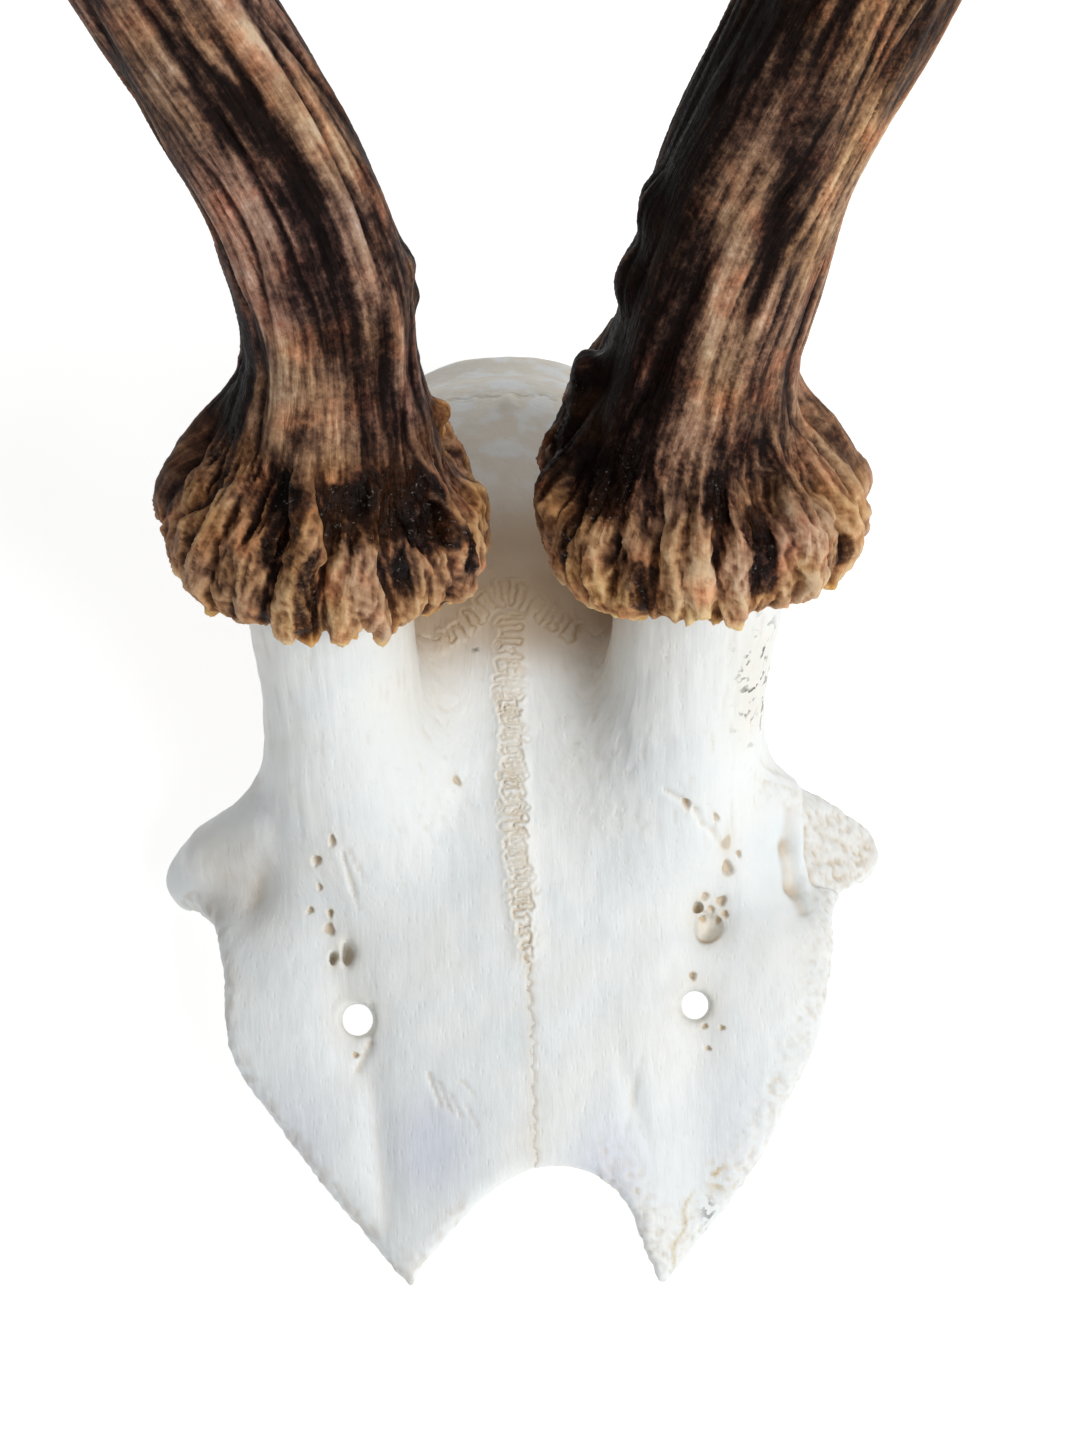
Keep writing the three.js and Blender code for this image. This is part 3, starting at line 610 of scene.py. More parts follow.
# lobes on the front of each burr: turn in degrees, half width, top station, foot station, paleness, reach
LOBES = {
    -1: [(-97, 3.3, 19, 3.8, 0.22, -1.3), (-81, 1.6, 15, 2.0, 0.30, -0.5), (-70, 1.4, 13, 1.6, 0.50, -0.1), (-60, 1.3, 14, 1.3, 0.40, 0.1), (-49, 1.6, 15, 0.9, 0.62, 0.2), (-38, 1.4, 13, 0.5, 0.45, 0.1),
         (-27, 1.4, 12, 0.3, 0.58, 0), (-12, 1.75, 20, -0.4, 0.85, 0.5), (-1, 1.1, 8, 1.4, 0.08, -1.1), (8, 1.6, 12, -1.3, 0.75, 0.6), (20, 1.7, 14, -1.2, 0.85, 0.8), (33, 1.5, 9, -0.2, 0.50, -0.4),
         (45, 1.4, 12, 0.2, 0.42, -0.1), (58, 2.1, 16, 0.3, 0.50, 0.7), (72, 1.8, 14, 0.8, 0.52, 0.1), (88, 1.8, 13, 1.2, 0.35, -0.6)],
    1: [(-95, 2.1, 20, 3.0, 0.22, -0.6), (-80, 2.2, 17, 1.8, 0.42, -0.1), (-66, 1.6, 12, 0.6, 0.42, 0.1), (-55, 1.5, 14, -0.2, 0.34, 0.2), (-44, 1.4, 13, -1.2, 0.42, 0.2), (-33, 1.3, 12, -0.6, 0.30, 0),
        (-23, 1.2, 9, 0.6, 0.12, -0.9), (-14, 1.4, 14, 0.2, 0.60, 0.1), (-4, 1.5, 14, -0.5, 0.85, 0.5), (7, 1.5, 13, -1.2, 0.75, 0.4), (18, 1.3, 11, 0.0, 0.10, -0.7), (28, 1.5, 15, 0.4, 0.45, 0),
        (38, 1.9, 17, 0.4, 0.85, 0.6), (50, 1.3, 13, 0.9, 0.35, -0.4), (61, 1.7, 15, 0.8, 0.62, 0.3), (73, 1.8, 16, 2.0, 0.58, 0), (86, 2.9, 20, 5.6, 0.60, -0.9), (102, 2.1, 14, 1.6, 0.40, -0.2)],
}


class Antler:
    def __init__(self, side):
        self.side = side
        self.main = Axis([leaning(x, s) for x, s in LEAN[side]] + UPPER[side])
        self.front, self.rear = Axis(FRONT[side]), Axis(REAR[side])
        self.last = RADIUS[side][-1][0]
        turning = np.linalg.norm(np.gradient(self.main.t, axis=0), axis=1)
        self.bend = int((turning * (self.main.s > 84) * (self.main.s < 118)).argmax())
        rng = np.random.default_rng(21 + side)
        lobes = list(LOBES[side])
        at = lobes[-1][0] + 13
        stop = 360 + lobes[0][0] - 8
        while at < stop:
            tall = 14 + rng.uniform(-2, 3)
            if side > 0 and 200 < at < 262:
                tall = rng.uniform(19, 25)
            if side < 0 and 110 < at < 160:
                tall = rng.uniform(15, 20)
            lobes.append((at, rng.uniform(1.5, 2.3), tall, rng.uniform(-1.0, 1.4), rng.uniform(0.15, 0.6), rng.uniform(-0.2, 0.6)))
            at += rng.uniform(11.5, 16.5)
        lobes.sort(key=lambda l: l[0] % 360)
        self.lobe_turn = np.radians([l[0] % 360 for l in lobes])
        self.lobe_tint = np.array([l[4] for l in lobes], F32)
        burr, r20 = BURR[side], float(table(RADIUS[side], 22.0))
        chain_p, chain_r = [], []
        for turn, half, top, foot, _, reach in lobes:
            drift = np.radians(rng.normal(0, 3.6, 5))
            drift[3] = 0
            rho = np.array([np.interp(top + 1.5, [8, 12, 16, 21], [burr - 3.6, burr - 5.9, burr - 7.4, r20 - 0.2]), burr - 4.2 + reach, burr - 2.1 + reach, burr - 1.6 + reach, burr - 2.4 + reach]) + rng.normal(0, 0.35, 5)
            s = np.array([top + 1.5, top * 0.62 + 2.6, top * 0.3 + 3.8, foot + 2.8, foot + 0.2]) + rng.normal(0, 0.35, 5)
            p = self.main.at(s, rho, np.radians(turn) + drift)
            r = np.array([0.40, 0.74, 1.0, 0.95, 0.42]) * half * rng.uniform(0.84, 1.14, 5)
            c = smooth_line(np.hstack([p, r[:, None]]), 2)
            chain_p.append(c[:, :3])
            chain_r.append(c[:, 3])
        self.chain_p, self.chain_r = np.array(chain_p, F32), np.array(chain_r, F32)
        # beads: on the burr between the lobes, under it, and up the inner and rear sides of the beam
        beads = []
        inner = -side
        for _ in range(52):
            s = rng.uniform(0.5, 13)
            beads.append((s, np.interp(s, [0, 4, 8, 13], [burr - 1.8, burr - 0.9, burr - 3.2, burr - 6.2]) - 0.6, rng.uniform(0, 6.283), rng.uniform(0.7, 1.4)))
        for _ in range(34):
            beads.append((rng.uniform(-1.2, 0.8), rng.uniform(burr - 5.5, burr - 2.8), rng.uniform(0, 6.283), rng.uniform(0.6, 1.15)))
        for _ in range(34):
            s = 19 + 40 * rng.uniform(0, 1) ** 1.3
            turn = np.radians(inner * rng.uniform(150, 200))
            beads.append((s, float(table(RADIUS[side], s)) - rng.uniform(0.6, 1.2), turn, rng.uniform(0.9, 1.9)))
        for s, turn, r, lift in ([(34.5, 91, 3.0, -1.9), (31.5, 95, 2.2, -1.4), (18.6, 100, 1.7, 1.4), (16.4, 106, 1.9, 1.0)] if side < 0 else [(40.0, -86, 5.0, -4.2), (32.0, -86, 5.0, -4.1), (21.2, -98, 1.9, 1.4), (19.8, -99, 2.1, 1.4), (18.2, -100, 2.2, 1.5), (15.8, -101, 1.8, 1.9), (13.2, -101, 1.5, 2.3), (10.8, -100, 1.3, 2.8)]):
            beads.append((s, float(table(RADIUS[side], s)) + lift, np.radians(turn), r))
        b = np.array(beads)
        self.bead_p, self.bead_r = self.main.at(b[:, 0], b[:, 1], b[:, 2]).astype(F32), b[:, 3].astype(F32)
        self.inner = inner

    def beam_radius(self, s):
        st = np.where(s < FORKS[1], s, FORKS[1] + (s - FORKS[1]) * (self.last - FORKS[1]) / (self.main.length - FORKS[1]))
        return table(RADIUS[self.side], st)

    def beam(self, s, rho, turn, beyond):
        r = self.beam_radius(s) * (1 + 0.035 * np.cos(2 * turn + 0.9 * self.side) + 0.03 * np.cos(3 * turn + s / 23))
        r = r - np.maximum(0, -(s - 14)) * 0.05
        return np.where(beyond > 0, np.sqrt(rho * rho + beyond * beyond) - r, (rho - r) * 0.96)

    def burr(self, P, s, rho, turn):
        burr = BURR[self.side]
        k = table([[-2, 13.2], [0, 15.4], [3, 16.7], [5.5, 16.4], [8, 15.5], [11, 14.0], [14, 12.8], [17, 11.8], [21, 10.5], [24, 9.0]], s) * (burr / 18.7)
        core = smax((rho - k) * 0.86, -0.4 - s + 0.5 * np.sin(turn * 5) * np.sin(turn * 3 + 1), 1.2)
        core = np.maximum(core, s - 24)
        near = np.flatnonzero((core < 7) & (s < 30))
        if len(near):
            q = P[near]
            t = turn[near] % (2 * np.pi)
            n = len(self.lobe_turn)
            i0 = np.searchsorted(self.lobe_turn, t)
            best = np.full(len(q), 50, F32)
            for d in (-2, -1, 0, 1):
                i = (i0 + d) % n
                one = np.full(len(q), 50, F32)
                for m in range(self.chain_p.shape[1] - 1):
                    a, b = self.chain_p[i, m], self.chain_p[i, m + 1]
                    ra, rb = self.chain_r[i, m], self.chain_r[i, m + 1]
                    ab = b - a
                    u = np.clip(((q - a) * ab).sum(1) / (ab * ab).sum(1), 0, 1)
                    w = q - a - u[:, None] * ab
                    one = np.minimum(one, np.sqrt((w * w).sum(1)) - (ra + (rb - ra) * u))
                best = smin(best, one, 0.6)
            core[near] = smin(core[near], best, 1.7)
        return core

    def lobe_marks(self, P, turn):
        """Tint of the nearest lobe and the distance from its surface."""
        n = len(self.lobe_turn)
        i0 = np.searchsorted(self.lobe_turn, turn % (2 * np.pi))
        best, tint = np.full(len(P), 50, F32), np.zeros(len(P), F32)
        for d in (-2, -1, 0, 1):
            i = (i0 + d) % n
            one = np.full(len(P), 50, F32)
            for m in range(self.chain_p.shape[1] - 1):
                a, b = self.chain_p[i, m], self.chain_p[i, m + 1]
                ra, rb = self.chain_r[i, m], self.chain_r[i, m + 1]
                ab = b - a
                u = np.clip(((P - a) * ab).sum(1) / (ab * ab).sum(1), 0, 1)
                w = P - a - u[:, None] * ab
                one = np.minimum(one, np.sqrt((w * w).sum(1)) - (ra + (rb - ra) * u))
            tint = np.where(one < best, self.lobe_tint[i], tint)
            best = np.minimum(best, one)
        return best, tint

    def field(self, P):
        s, rho, turn, beyond, _ = self.main.project(P)
        f = self.beam(s, rho, turn, beyond)
        low = P[:, 2] < 74
        if low.any():
            f[low] = smin(np.maximum(f, -1.0 - s)[low], self.burr(P[low], s[low], rho[low], turn[low]), 2.2)
            for c, r in zip(self.bead_p, self.bead_r):
                near = np.flatnonzero((np.abs(P[:, 2] - c[2]) < r + 2.5) & (np.abs(P[:, 0] - c[0]) < r + 2.5) & (np.abs(P[:, 1] - c[1]) < r + 2.5))
                if len(near):
                    w = P[near] - c
                    f[near] = smin(f[near], np.sqrt((w * w).sum(1)) - r, 1.0)
        f = np.maximum(f, -2.6 - s)
        high = P[:, 2] > 104
        if high.any():
            for axis, rows, k in ((self.front, FRONT_RADIUS, 6.0), (self.rear, REAR_RADIUS, 5.0)):
                s2, rho2, _, beyond2, _ = axis.project(P[high])
                r = table(rows, np.maximum(s2, 0) * rows[-1][0] / axis.length)
                root = s2 < 0
                g = np.where(beyond2 > 0, np.sqrt(rho2**2 + beyond2**2), np.where(root, np.sqrt(rho2**2 + s2**2), rho2)) - r
                f[high] = smin(f[high], g, k)
        return f

    def past_join(self, P):
        """How far past the plane where the lower and the upper piece meet, along the beam."""
        k = int(round(JOIN / float(self.main.step)))
        return (P - self.main.p[k]) @ self.main.t[k]

    def limbs(self, P):
        """Flow coordinates and closeness for beam, front tine and rear tine."""
        out = []
        for axis, rows in ((self.main, None), (self.front, FRONT_RADIUS), (self.rear, REAR_RADIUS)):
            s, rho, turn, beyond, _ = axis.project(P)
            if rows is None:
                r = self.beam_radius(s)
            else:
                r = table(rows, np.maximum(s, 0) * rows[-1][0] / axis.length)
            d = np.where(s < 0, np.sqrt(rho**2 + s**2), rho) - r if rows is not None else np.where(beyond > 0, np.sqrt(rho**2 + beyond**2), rho) - r
            out.append((s, rho, turn, r, d, 1 - s / axis.length))
        return out


ANTLERS = {-1: Antler(-1), 1: Antler(1)}
JOIN = 103.0  # station where the lower and upper pieces of an antler meet


# ------------------------------------------------------------------ materials
class Nodes:
    def __init__(self, name):
        self.m = bpy.data.materials.new(name)
        self.m.use_nodes = True
        self.t = self.m.node_tree
        self.t.nodes.clear()
        self.out = self.t.nodes.new("ShaderNodeOutputMaterial")
        self.bsdf = self.t.nodes.new("ShaderNodeBsdfPrincipled")
        self.t.links.new(self.bsdf.outputs[0], self.out.inputs[0])

    def put(self, socket, value):
        if isinstance(value, bpy.types.NodeSocket):
            self.t.links.new(value, socket)
        else:
            socket.default_value = value

    def attr(self, name, vector=False):
        n = self.t.nodes.new("ShaderNodeAttribute")
        n.attribute_name = name
        return n.outputs["Vector"] if vector else n.outputs["Fac"]

    def place(self):
        return self.t.nodes.new("ShaderNodeTexCoord").outputs["Object"]

    def math(self, op, a, b=0.0, c=None, clamp=False):
        n = self.t.nodes.new("ShaderNodeMath")
        n.operation, n.use_clamp = op, clamp
        self.put(n.inputs[0], a)
        self.put(n.inputs[1], b)
        if c is not None:
            self.put(n.inputs[2], c)
        return n.outputs[0]

    def scale(self, v, by):
        n = self.t.nodes.new("ShaderNodeVectorMath")
        n.operation = "MULTIPLY"
        self.put(n.inputs[0], v)
        self.put(n.inputs[1], by)
        return n.outputs[0]

    def noise(self, v, scale=1.0, detail=3.0, rough=0.55, distortion=0.0):
        n = self.t.nodes.new("ShaderNodeTexNoise")
        self.put(n.inputs["Vector"], v)
        self.put(n.inputs["Scale"], scale)
        self.put(n.inputs["Detail"], detail)
        self.put(n.inputs["Roughness"], rough)
        self.put(n.inputs["Distortion"], distortion)
        return n.outputs["Fac"]

    def cells(self, v, scale):
        n = self.t.nodes.new("ShaderNodeTexVoronoi")
        self.put(n.inputs["Vector"], v)
        self.put(n.inputs["Scale"], scale)
        return n.outputs["Distance"]

    def span(self, v, a, b, c=0.0, d=1.0):
        n = self.t.nodes.new("ShaderNodeMapRange")
        self.put(n.inputs[0], v)
        for k, x in enumerate((a, b, c, d)):
            n.inputs[1 + k].default_value = x
        return n.outputs[0]

    def ramp(self, v, stops):
        n = self.t.nodes.new("ShaderNodeValToRGB")
        r = n.color_ramp
        while len(r.elements) < len(stops):
            r.elements.new(0.5)
        for e, (at, colour) in zip(r.elements, stops):
            e.position = at
            e.color = (*colour, 1)
        self.put(n.inputs[0], v)
        return n.outputs[0]

    def mix(self, fac, a, b, kind="MIX"):
        n = self.t.nodes.new("ShaderNodeMix")
        n.data_type, n.blend_type = "RGBA", kind
        self.put(n.inputs[0], fac)
        self.put(n.inputs[6], (*a, 1) if isinstance(a, tuple) else a)
        self.put(n.inputs[7], (*b, 1) if isinstance(b, tuple) else b)
        return n.outputs[2]

    def bump(self, height, strength, distance, normal=None):
        n = self.t.nodes.new("ShaderNodeBump")
        n.inputs["Strength"].default_value = strength
        n.inputs["Distance"].default_value = distance
        self.put(n.inputs["Height"], height)
        if normal is not None:
            self.put(n.inputs["Normal"], normal)
        return n.outputs[0]

    def finish(self, colour, rough, normal, **constants):
        self.put(self.bsdf.inputs["Base Color"], colour)
        self.put(self.bsdf.inputs["Roughness"], rough)
        self.put(self.bsdf.inputs["Normal"], normal)
        for k, v in constants.items():
            self.bsdf.inputs[k.replace("_", " ")].default_value = v
        return self.m


def bone_material():
    k = Nodes("bleached_bone")
    place, flow = k.place(), k.attr("flow", True)
    mottle = k.noise(place, 95.0, 4.0, 0.55)
    fine = k.noise(place, 620.0, 4.0, 0.6)
    fibre = k.noise(k.scale(flow, (1.0, 1.0, 0.11)), 1.5, 4.0, 0.6)
    pores = k.span(k.cells(k.scale(flow, (1.0, 1.0, 0.4)), 1.15), 0.05, 0.26)
    colour = k.ramp(mottle, [(0.30, (0.765, 0.81, 0.825)), (0.50, (0.815, 0.845, 0.845)), (0.70, (0.84, 0.85, 0.83))])
    colour = k.mix(k.math("MULTIPLY", k.attr("blue"), 0.85), colour, (0.60, 0.635, 0.765))
    # cream: warm staining in sutures and pits, plus painted warm light thrown back by the antlers onto the rear
    colour = k.mix(k.math("MULTIPLY", k.attr("cream"), k.span(fine, 0.3, 0.65, 0.75, 1.0)), colour, (0.70, 0.60, 0.44))
    colour = k.mix(k.math("MULTIPLY", k.attr("shade"), 0.9), colour, (0.45, 0.325, 0.20))
    # tan: brown in pits, suture grooves and the crack, plus painted shade between the burrs and a painted shadow at the
    # big pit's rim
    colour = k.mix(k.attr("tan"), colour, (0.46, 0.305, 0.150))
    colour = k.mix(k.attr("gold"), colour, (0.52, 0.36, 0.10))
    specks = k.span(k.noise(place, 900.0, 2.0, 0.5), 0.54, 0.60)
    colour = k.mix(k.math("MULTIPLY", k.attr("grime"), specks), colour, (0.035, 0.030, 0.026))
    fibres = k.math("MULTIPLY", k.math("SUBTRACT", fibre, 0.5), 0.9)
    height = k.math("ADD", k.math("MULTIPLY", fine, 0.45), k.math("ADD", fibres, k.math("MULTIPLY", pores, 0.35)))
    normal = k.bump(height, 0.46, 0.00022)
    rough = k.span(fine, 0.3, 0.7, 0.42, 0.62)
    return k.finish(colour, rough, normal, Specular_IOR_Level=0.42, Subsurface_Weight=0.0)


def antler_material():
    k = Nodes("antler")
    place, flow = k.place(), k.attr("flow", True)
    streak = k.noise(k.scale(flow, (1.0, 1.0, 0.07)), 0.85, 5.0, 0.62, 0.15)
    fine = k.noise(k.scale(flow, (1.0, 1.0, 0.10)), 2.6, 4.0, 0.6)
    grain = k.noise(place, 1500.0, 4.0, 0.65)
    blotch = k.noise(place, 210.0, 4.0, 0.55)
    tone = k.math("ADD", k.attr("tone"), k.math("MULTIPLY", k.math("SUBTRACT", streak, 0.5), 0.36))
    tone = k.math("ADD", tone, k.math("MULTIPLY", k.math("SUBTRACT", fine, 0.5), 0.46))
    tone = k.math("ADD", tone, k.math("MULTIPLY", k.math("SUBTRACT", grain, 0.5), k.span(k.attr("calm"), 0.0, 1.0, 0.58, 0.22)))
    tone = k.math("ADD", tone, k.math("MULTIPLY", k.math("SUBTRACT", k.noise(place, 520.0, 3.0, 0.6), 0.5), 0.26))
    colour = k.ramp(tone, [(0.0, (0.0032, 0.0014, 0.0008)), (0.20, (0.0110, 0.0055, 0.0040)), (0.36, (0.050, 0.0255, 0.0165)), (0.52, (0.148, 0.081, 0.047)), (0.68, (0.305, 0.178, 0.100)), (0.84, (0.45, 0.30, 0.178)), (1.0, (0.60, 0.46, 0.30))])
    red = k.math("MULTIPLY", k.span(blotch, 0.50, 0.66), 0.55)
    colour = k.mix(red, colour, k.mix(1.0, colour, (1.30, 0.83, 0.70), "MULTIPLY"))
    grey = k.math("MULTIPLY", k.span(blotch, 0.48, 0.34), 0.45)
    colour = k.mix(grey, colour, k.mix(1.0, colour, (0.86, 0.92, 1.02), "MULTIPLY"))
    hue = k.noise(place, 60.0, 3.0, 0.5)
    colour = k.mix(k.math("MULTIPLY", k.span(hue, 0.50, 0.62), 0.6), colour, k.mix(1.0, colour, (1.14, 1.04, 0.80), "MULTIPLY"))
    colour = k.mix(k.math("MULTIPLY", k.span(hue, 0.52, 0.38), 0.7), colour, k.mix(1.0, colour, (0.97, 0.88, 0.98), "MULTIPLY"))
    colour = k.mix(k.attr("plum"), colour, k.mix(1.0, colour, (0.98, 1.0, 1.20), "MULTIPLY"))
    colour = k.mix(k.math("MULTIPLY", k.attr("calm"), 0.42), colour, k.mix(1.0, colour, (1.10, 0.93, 0.88), "MULTIPLY"))
    gold = k.ramp(tone, [(0.0, (0.035, 0.014, 0.006)), (0.30, (0.17, 0.060, 0.018)), (0.55, (0.43, 0.20, 0.056)), (0.80, (0.68, 0.41, 0.150)), (1.0, (0.78, 0.56, 0.28))])
    colour = k.mix(k.attr("amber"), colour, gold)
    # painted highlights: small pale specks mixed into the colour where the antler is glossy, standing in for glints
    painted_glint = k.math("MULTIPLY", k.span(k.noise(place, 1700.0, 4.0, 0.65), 0.62, 0.80), k.attr("gloss_and_glint"))
    colour = k.mix(k.math("MULTIPLY", painted_glint, 0.9, clamp=True), colour, (0.36, 0.33, 0.30))
    pits = k.span(k.cells(place, 1050.0), 0.04, 0.22)
    height = k.math("ADD", k.math("MULTIPLY", fine, 0.9), k.math("ADD", k.math("MULTIPLY", grain, 0.55), k.math("MULTIPLY", pits, 0.12)))
    normal = k.bump(height, 0.9, 0.00035)
    rough = k.math("SUBTRACT", k.span(grain, 0.3, 0.7, 0.40, 0.66), k.math("MULTIPLY", k.attr("gloss_and_glint"), 0.26), clamp=True)
    return k.finish(colour, rough, normal, Specular_IOR_Level=0.065)


BONE, ANTLER = bone_material(), antler_material()


# ------------------------------------------------------------------ pieces
LO, HI = np.array(cad_box[0]) + 2e-5, np.array(cad_box[1]) - 2e-5


def bake_map(me, skin, chart, uv):
    """Packs the charts (a number per face, flat coordinates in mm per corner) on one square."""
    face = np.repeat(np.arange(len(skin.start)), skin.total)
    corner = chart[face]
    boxes = []
    for c in np.unique(chart):
        q = uv[corner == c]
        lo, hi = q.min(0), q.max(0)
        boxes.append([c, lo, hi - lo + 1.5])
    boxes.sort(key=lambda b: -b[2][1])
    side = math.sqrt(sum(b[2][0] * b[2][1] for b in boxes))
    while True:
        x = y = shelf = 0.0
        at, fits = {}, True
        for c, lo, size in boxes:
            if x + size[0] > side:
                x, y, shelf = 0.0, y + shelf, 0.0
            fits &= size[0] <= side and y + size[1] <= side
            at[c] = np.array([x, y]) - lo + 0.75
            x, shelf = x + size[0], max(shelf, size[1])
        if fits:
            break
        side *= 1.04
    out = np.zeros_like(uv)
    for c, move in at.items():
        pick = corner == c
        out[pick] = (uv[pick] + move) / side
    me.uv_layers.new(name="OFBake").data.foreach_set("uv", out.astype(F32).ravel())


def piece(name, skin, attrs, material, nodes, charts=None):
    co = (skin.p - SHIFT) / 1000
    co = np.clip(co, LO, HI).astype(F32)
    me = bpy.data.meshes.new(name)
    me.vertices.add(len(co))
    me.vertices.foreach_set("co", co.ravel())
    me.loops.add(len(skin.lv))
    me.loops.foreach_set("vertex_index", skin.lv.astype(np.int32))
    me.polygons.add(len(skin.start))
    me.polygons.foreach_set("loop_start", skin.start.astype(np.int32))
    me.polygons.foreach_set("use_smooth", np.ones(len(skin.start), bool))
    me.update(calc_edges=True)
    me.validate()
    for key, value in attrs.items():
        if value.ndim == 2:
            me.attributes.new(key, "FLOAT_VECTOR", "POINT").data.foreach_set("vector", value.astype(F32).ravel())
        else:
            me.attributes.new(key, "FLOAT", "POINT").data.foreach_set("value", value.astype(F32))
    me.materials.append(material)
    if charts:
        bake_map(me, skin, *charts)
    ob = bpy.data.objects.new(name, me)
    bpy.context.scene.collection.objects.link(ob)
    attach(ob, "root")
    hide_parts(*nodes)
    return ob


def near_pedicle(P, side):
    f, h, rho = pedicle_field(P, side)
    return np.exp(-(np.maximum(rho - 11, 0) / 5) ** 2) * ramp(h, -10, 2), h, rho


def bone_detail(skin):
    P, N = skin.p.astype(F32), skin.normals()
    x, y, z = P[:, 0], P[:, 1], P[:, 2]
    m = plan_maps(x, y)
    top = ramp(N[:, 2], 0.15, 0.5) * (y < 17) * ramp(z - m[:, 3], -1.0, 0.5)
    stem = np.maximum(near_pedicle(P, -1)[0], near_pedicle(P, 1)[0])
    phi = np.radians(28) + np.radians(27) * stem
    oy, oz = y + 8, z - 22
    flow = np.stack([x, -oy * np.sin(phi) + oz * np.cos(phi), oy * np.cos(phi) + oz * np.sin(phi)], 1).astype(F32)
    d = 0.20 * noise(P, 1 / 13.0, 3) + 0.12 * noise(P, 1 / 5.0, 5) + 0.055 * noise(P, 1 / 1.9, 8)
    fq = flow * np.array([1.0, 1.0, 0.10], F32)
    f1, f2 = noise(fq, 0.85, 12), noise(fq, 2.0, 14)
    d += stem * (0.075 * f1 + 0.035 * f2) + (1 - stem) * 0.022 * f1
    slits = ramp(noise(flow * np.array([1.5, 1.5, 0.16], F32), 1.0, 17), 0.42, 0.70)
    d -= slits * (0.01 + 0.06 * stem)
    pores = ramp(noise(P, 1.25, 19), 0.52, 0.8)
    d -= 0.03 * pores
    cream, tan, shade, grime, gold, blue = (np.zeros(len(P), F32) for _ in range(6))
    shade += 0.10 * slits * stem + 0.05 * pores
    # the right-hand margin and its process are rough and spongy
    edge = np.where((x > 8) & (y < -7), ramp(m[:, 2], -5.5, -1.0), 0) * (0.65 + 0.35 * noise(P, 0.25, 23))
    knob = ramp(x, 34.6, 36.0) * ramp(y, -17.5, -16.0) * ramp(N[:, 2], 0.1, 0.4)
    rough = np.clip(np.maximum(edge, 0.20 * knob), 0, 1)
    spong = ramp(noise(P, 0.85, 25), -0.05, 0.35) * 0.6 + ramp(noise(P, 1.7, 26), 0.0, 0.4) * 0.4
    d -= rough * (0.42 * spong - 0.12) + np.clip(knob, 0, 1) * (0.11 * (spong - 0.4) + 0.24 * noise(P, 0.30, 28))
    cream += rough * (0.06 + 0.22 * spong)
    shade += rough * 0.26 * ramp(noise(P, 1.2, 27), 0.1, 0.5) + 0.24 * np.clip(knob, 0, 1) * (0.5 + spong)
    left = np.where((x < -8) & (y < -14), ramp(m[:, 2], -2.6, -0.4), 0)
    d -= left * 0.16 * (0.5 + noise(P, 1.1, 29))
    shade += 0.30 * left * ramp(noise(P, 0.5, 91), -0.1, 0.3)
    shade += (0.26 + 0.12 * noise(P, 0.4, 93)) * np.exp(-(((x + 35.5) / 4.5) ** 4) - ((y + 14.5) / 5.0) ** 4)
    shade += 0.30 * np.exp(-((((x + 31.2) * 0.90 - (y + 15.5) * 0.44) / 1.1) ** 2) - (((x + 31.2) * 0.44 + (y + 15.5) * 0.90) / 3.6) ** 2)
    # the sutures
    band = np.exp(-((x - suture_x(y)) / 2.1) ** 4) * ramp(y, -29.5, -25) * ramp(y, 14.5, 12)
    arch = np.exp(-((y - coronal_y(x) + 0.4) / 2.1) ** 4) * ramp(np.abs(x), 9.6, 8.0) * (np.abs(y - 12) < 9)
    band = np.maximum(band, arch).astype(F32) * top
    k = np.flatnonzero(band > 0.003)
    if len(k):
        q = np.stack([x[k], y[k]], 1).astype(float)
        q = q + 0.10 * np.stack([noise(P[k], 1.6, 31), noise(P[k], 1.6, 32)], 1)
        ld = line_distance(q, LINE_POINTS)
        groove = np.exp(-((ld / 0.15) ** 2))
        lip = np.exp(-(((ld - 0.42) / 0.22) ** 2))
        depth = np.clip(0.6 + 0.8 * noise(P[k], 0.35, 33), 0.15, 1.2)
        d[k] += band[k] * (0.30 + 0.10 * lip - 0.30 * groove * depth + 0.05 * noise(P[k], 1.5, 34))
        cream[k] += band[k] * (0.20 + 0.15 * noise(P[k], 0.5, 35) + 0.35 * np.exp(-((ld / 0.3) ** 2)))
        tan[k] += band[k] * groove * np.clip(depth - 0.25, 0, 1) * 0.30
    # the lower suture: one thin, brown, wavy crack
    w = np.abs(x - seam_x(y))
    low = ramp(y, -24.5, -27.5) * top
    crack = np.exp(-((w / 0.24) ** 2)) * low * (0.65 + 0.5 * noise(P, 0.8, 37))
    d -= 0.10 * crack
    tan += 0.42 * crack
    cream += 0.28 * np.exp(-((w / 0.9) ** 2)) * low
    # dotted lambdoid line and the pale bump behind it
    lamb = np.exp(-(((y - 44.6 - 0.5 * np.sin(x * 1.7)) / 0.35) ** 2)) * (z > 8) * ramp(np.abs(x), 24, 18)
    dots = ramp(noise(P, 0.9, 41), -0.05, 0.3)
    d -= 0.20 * lamb * dots
    cream += 0.5 * lamb * dots
    d += 0.7 * np.exp(-(((x - 0.6) / 1.3) ** 2) - ((y - 43.2) / 2.4) ** 2) * (z > 15)
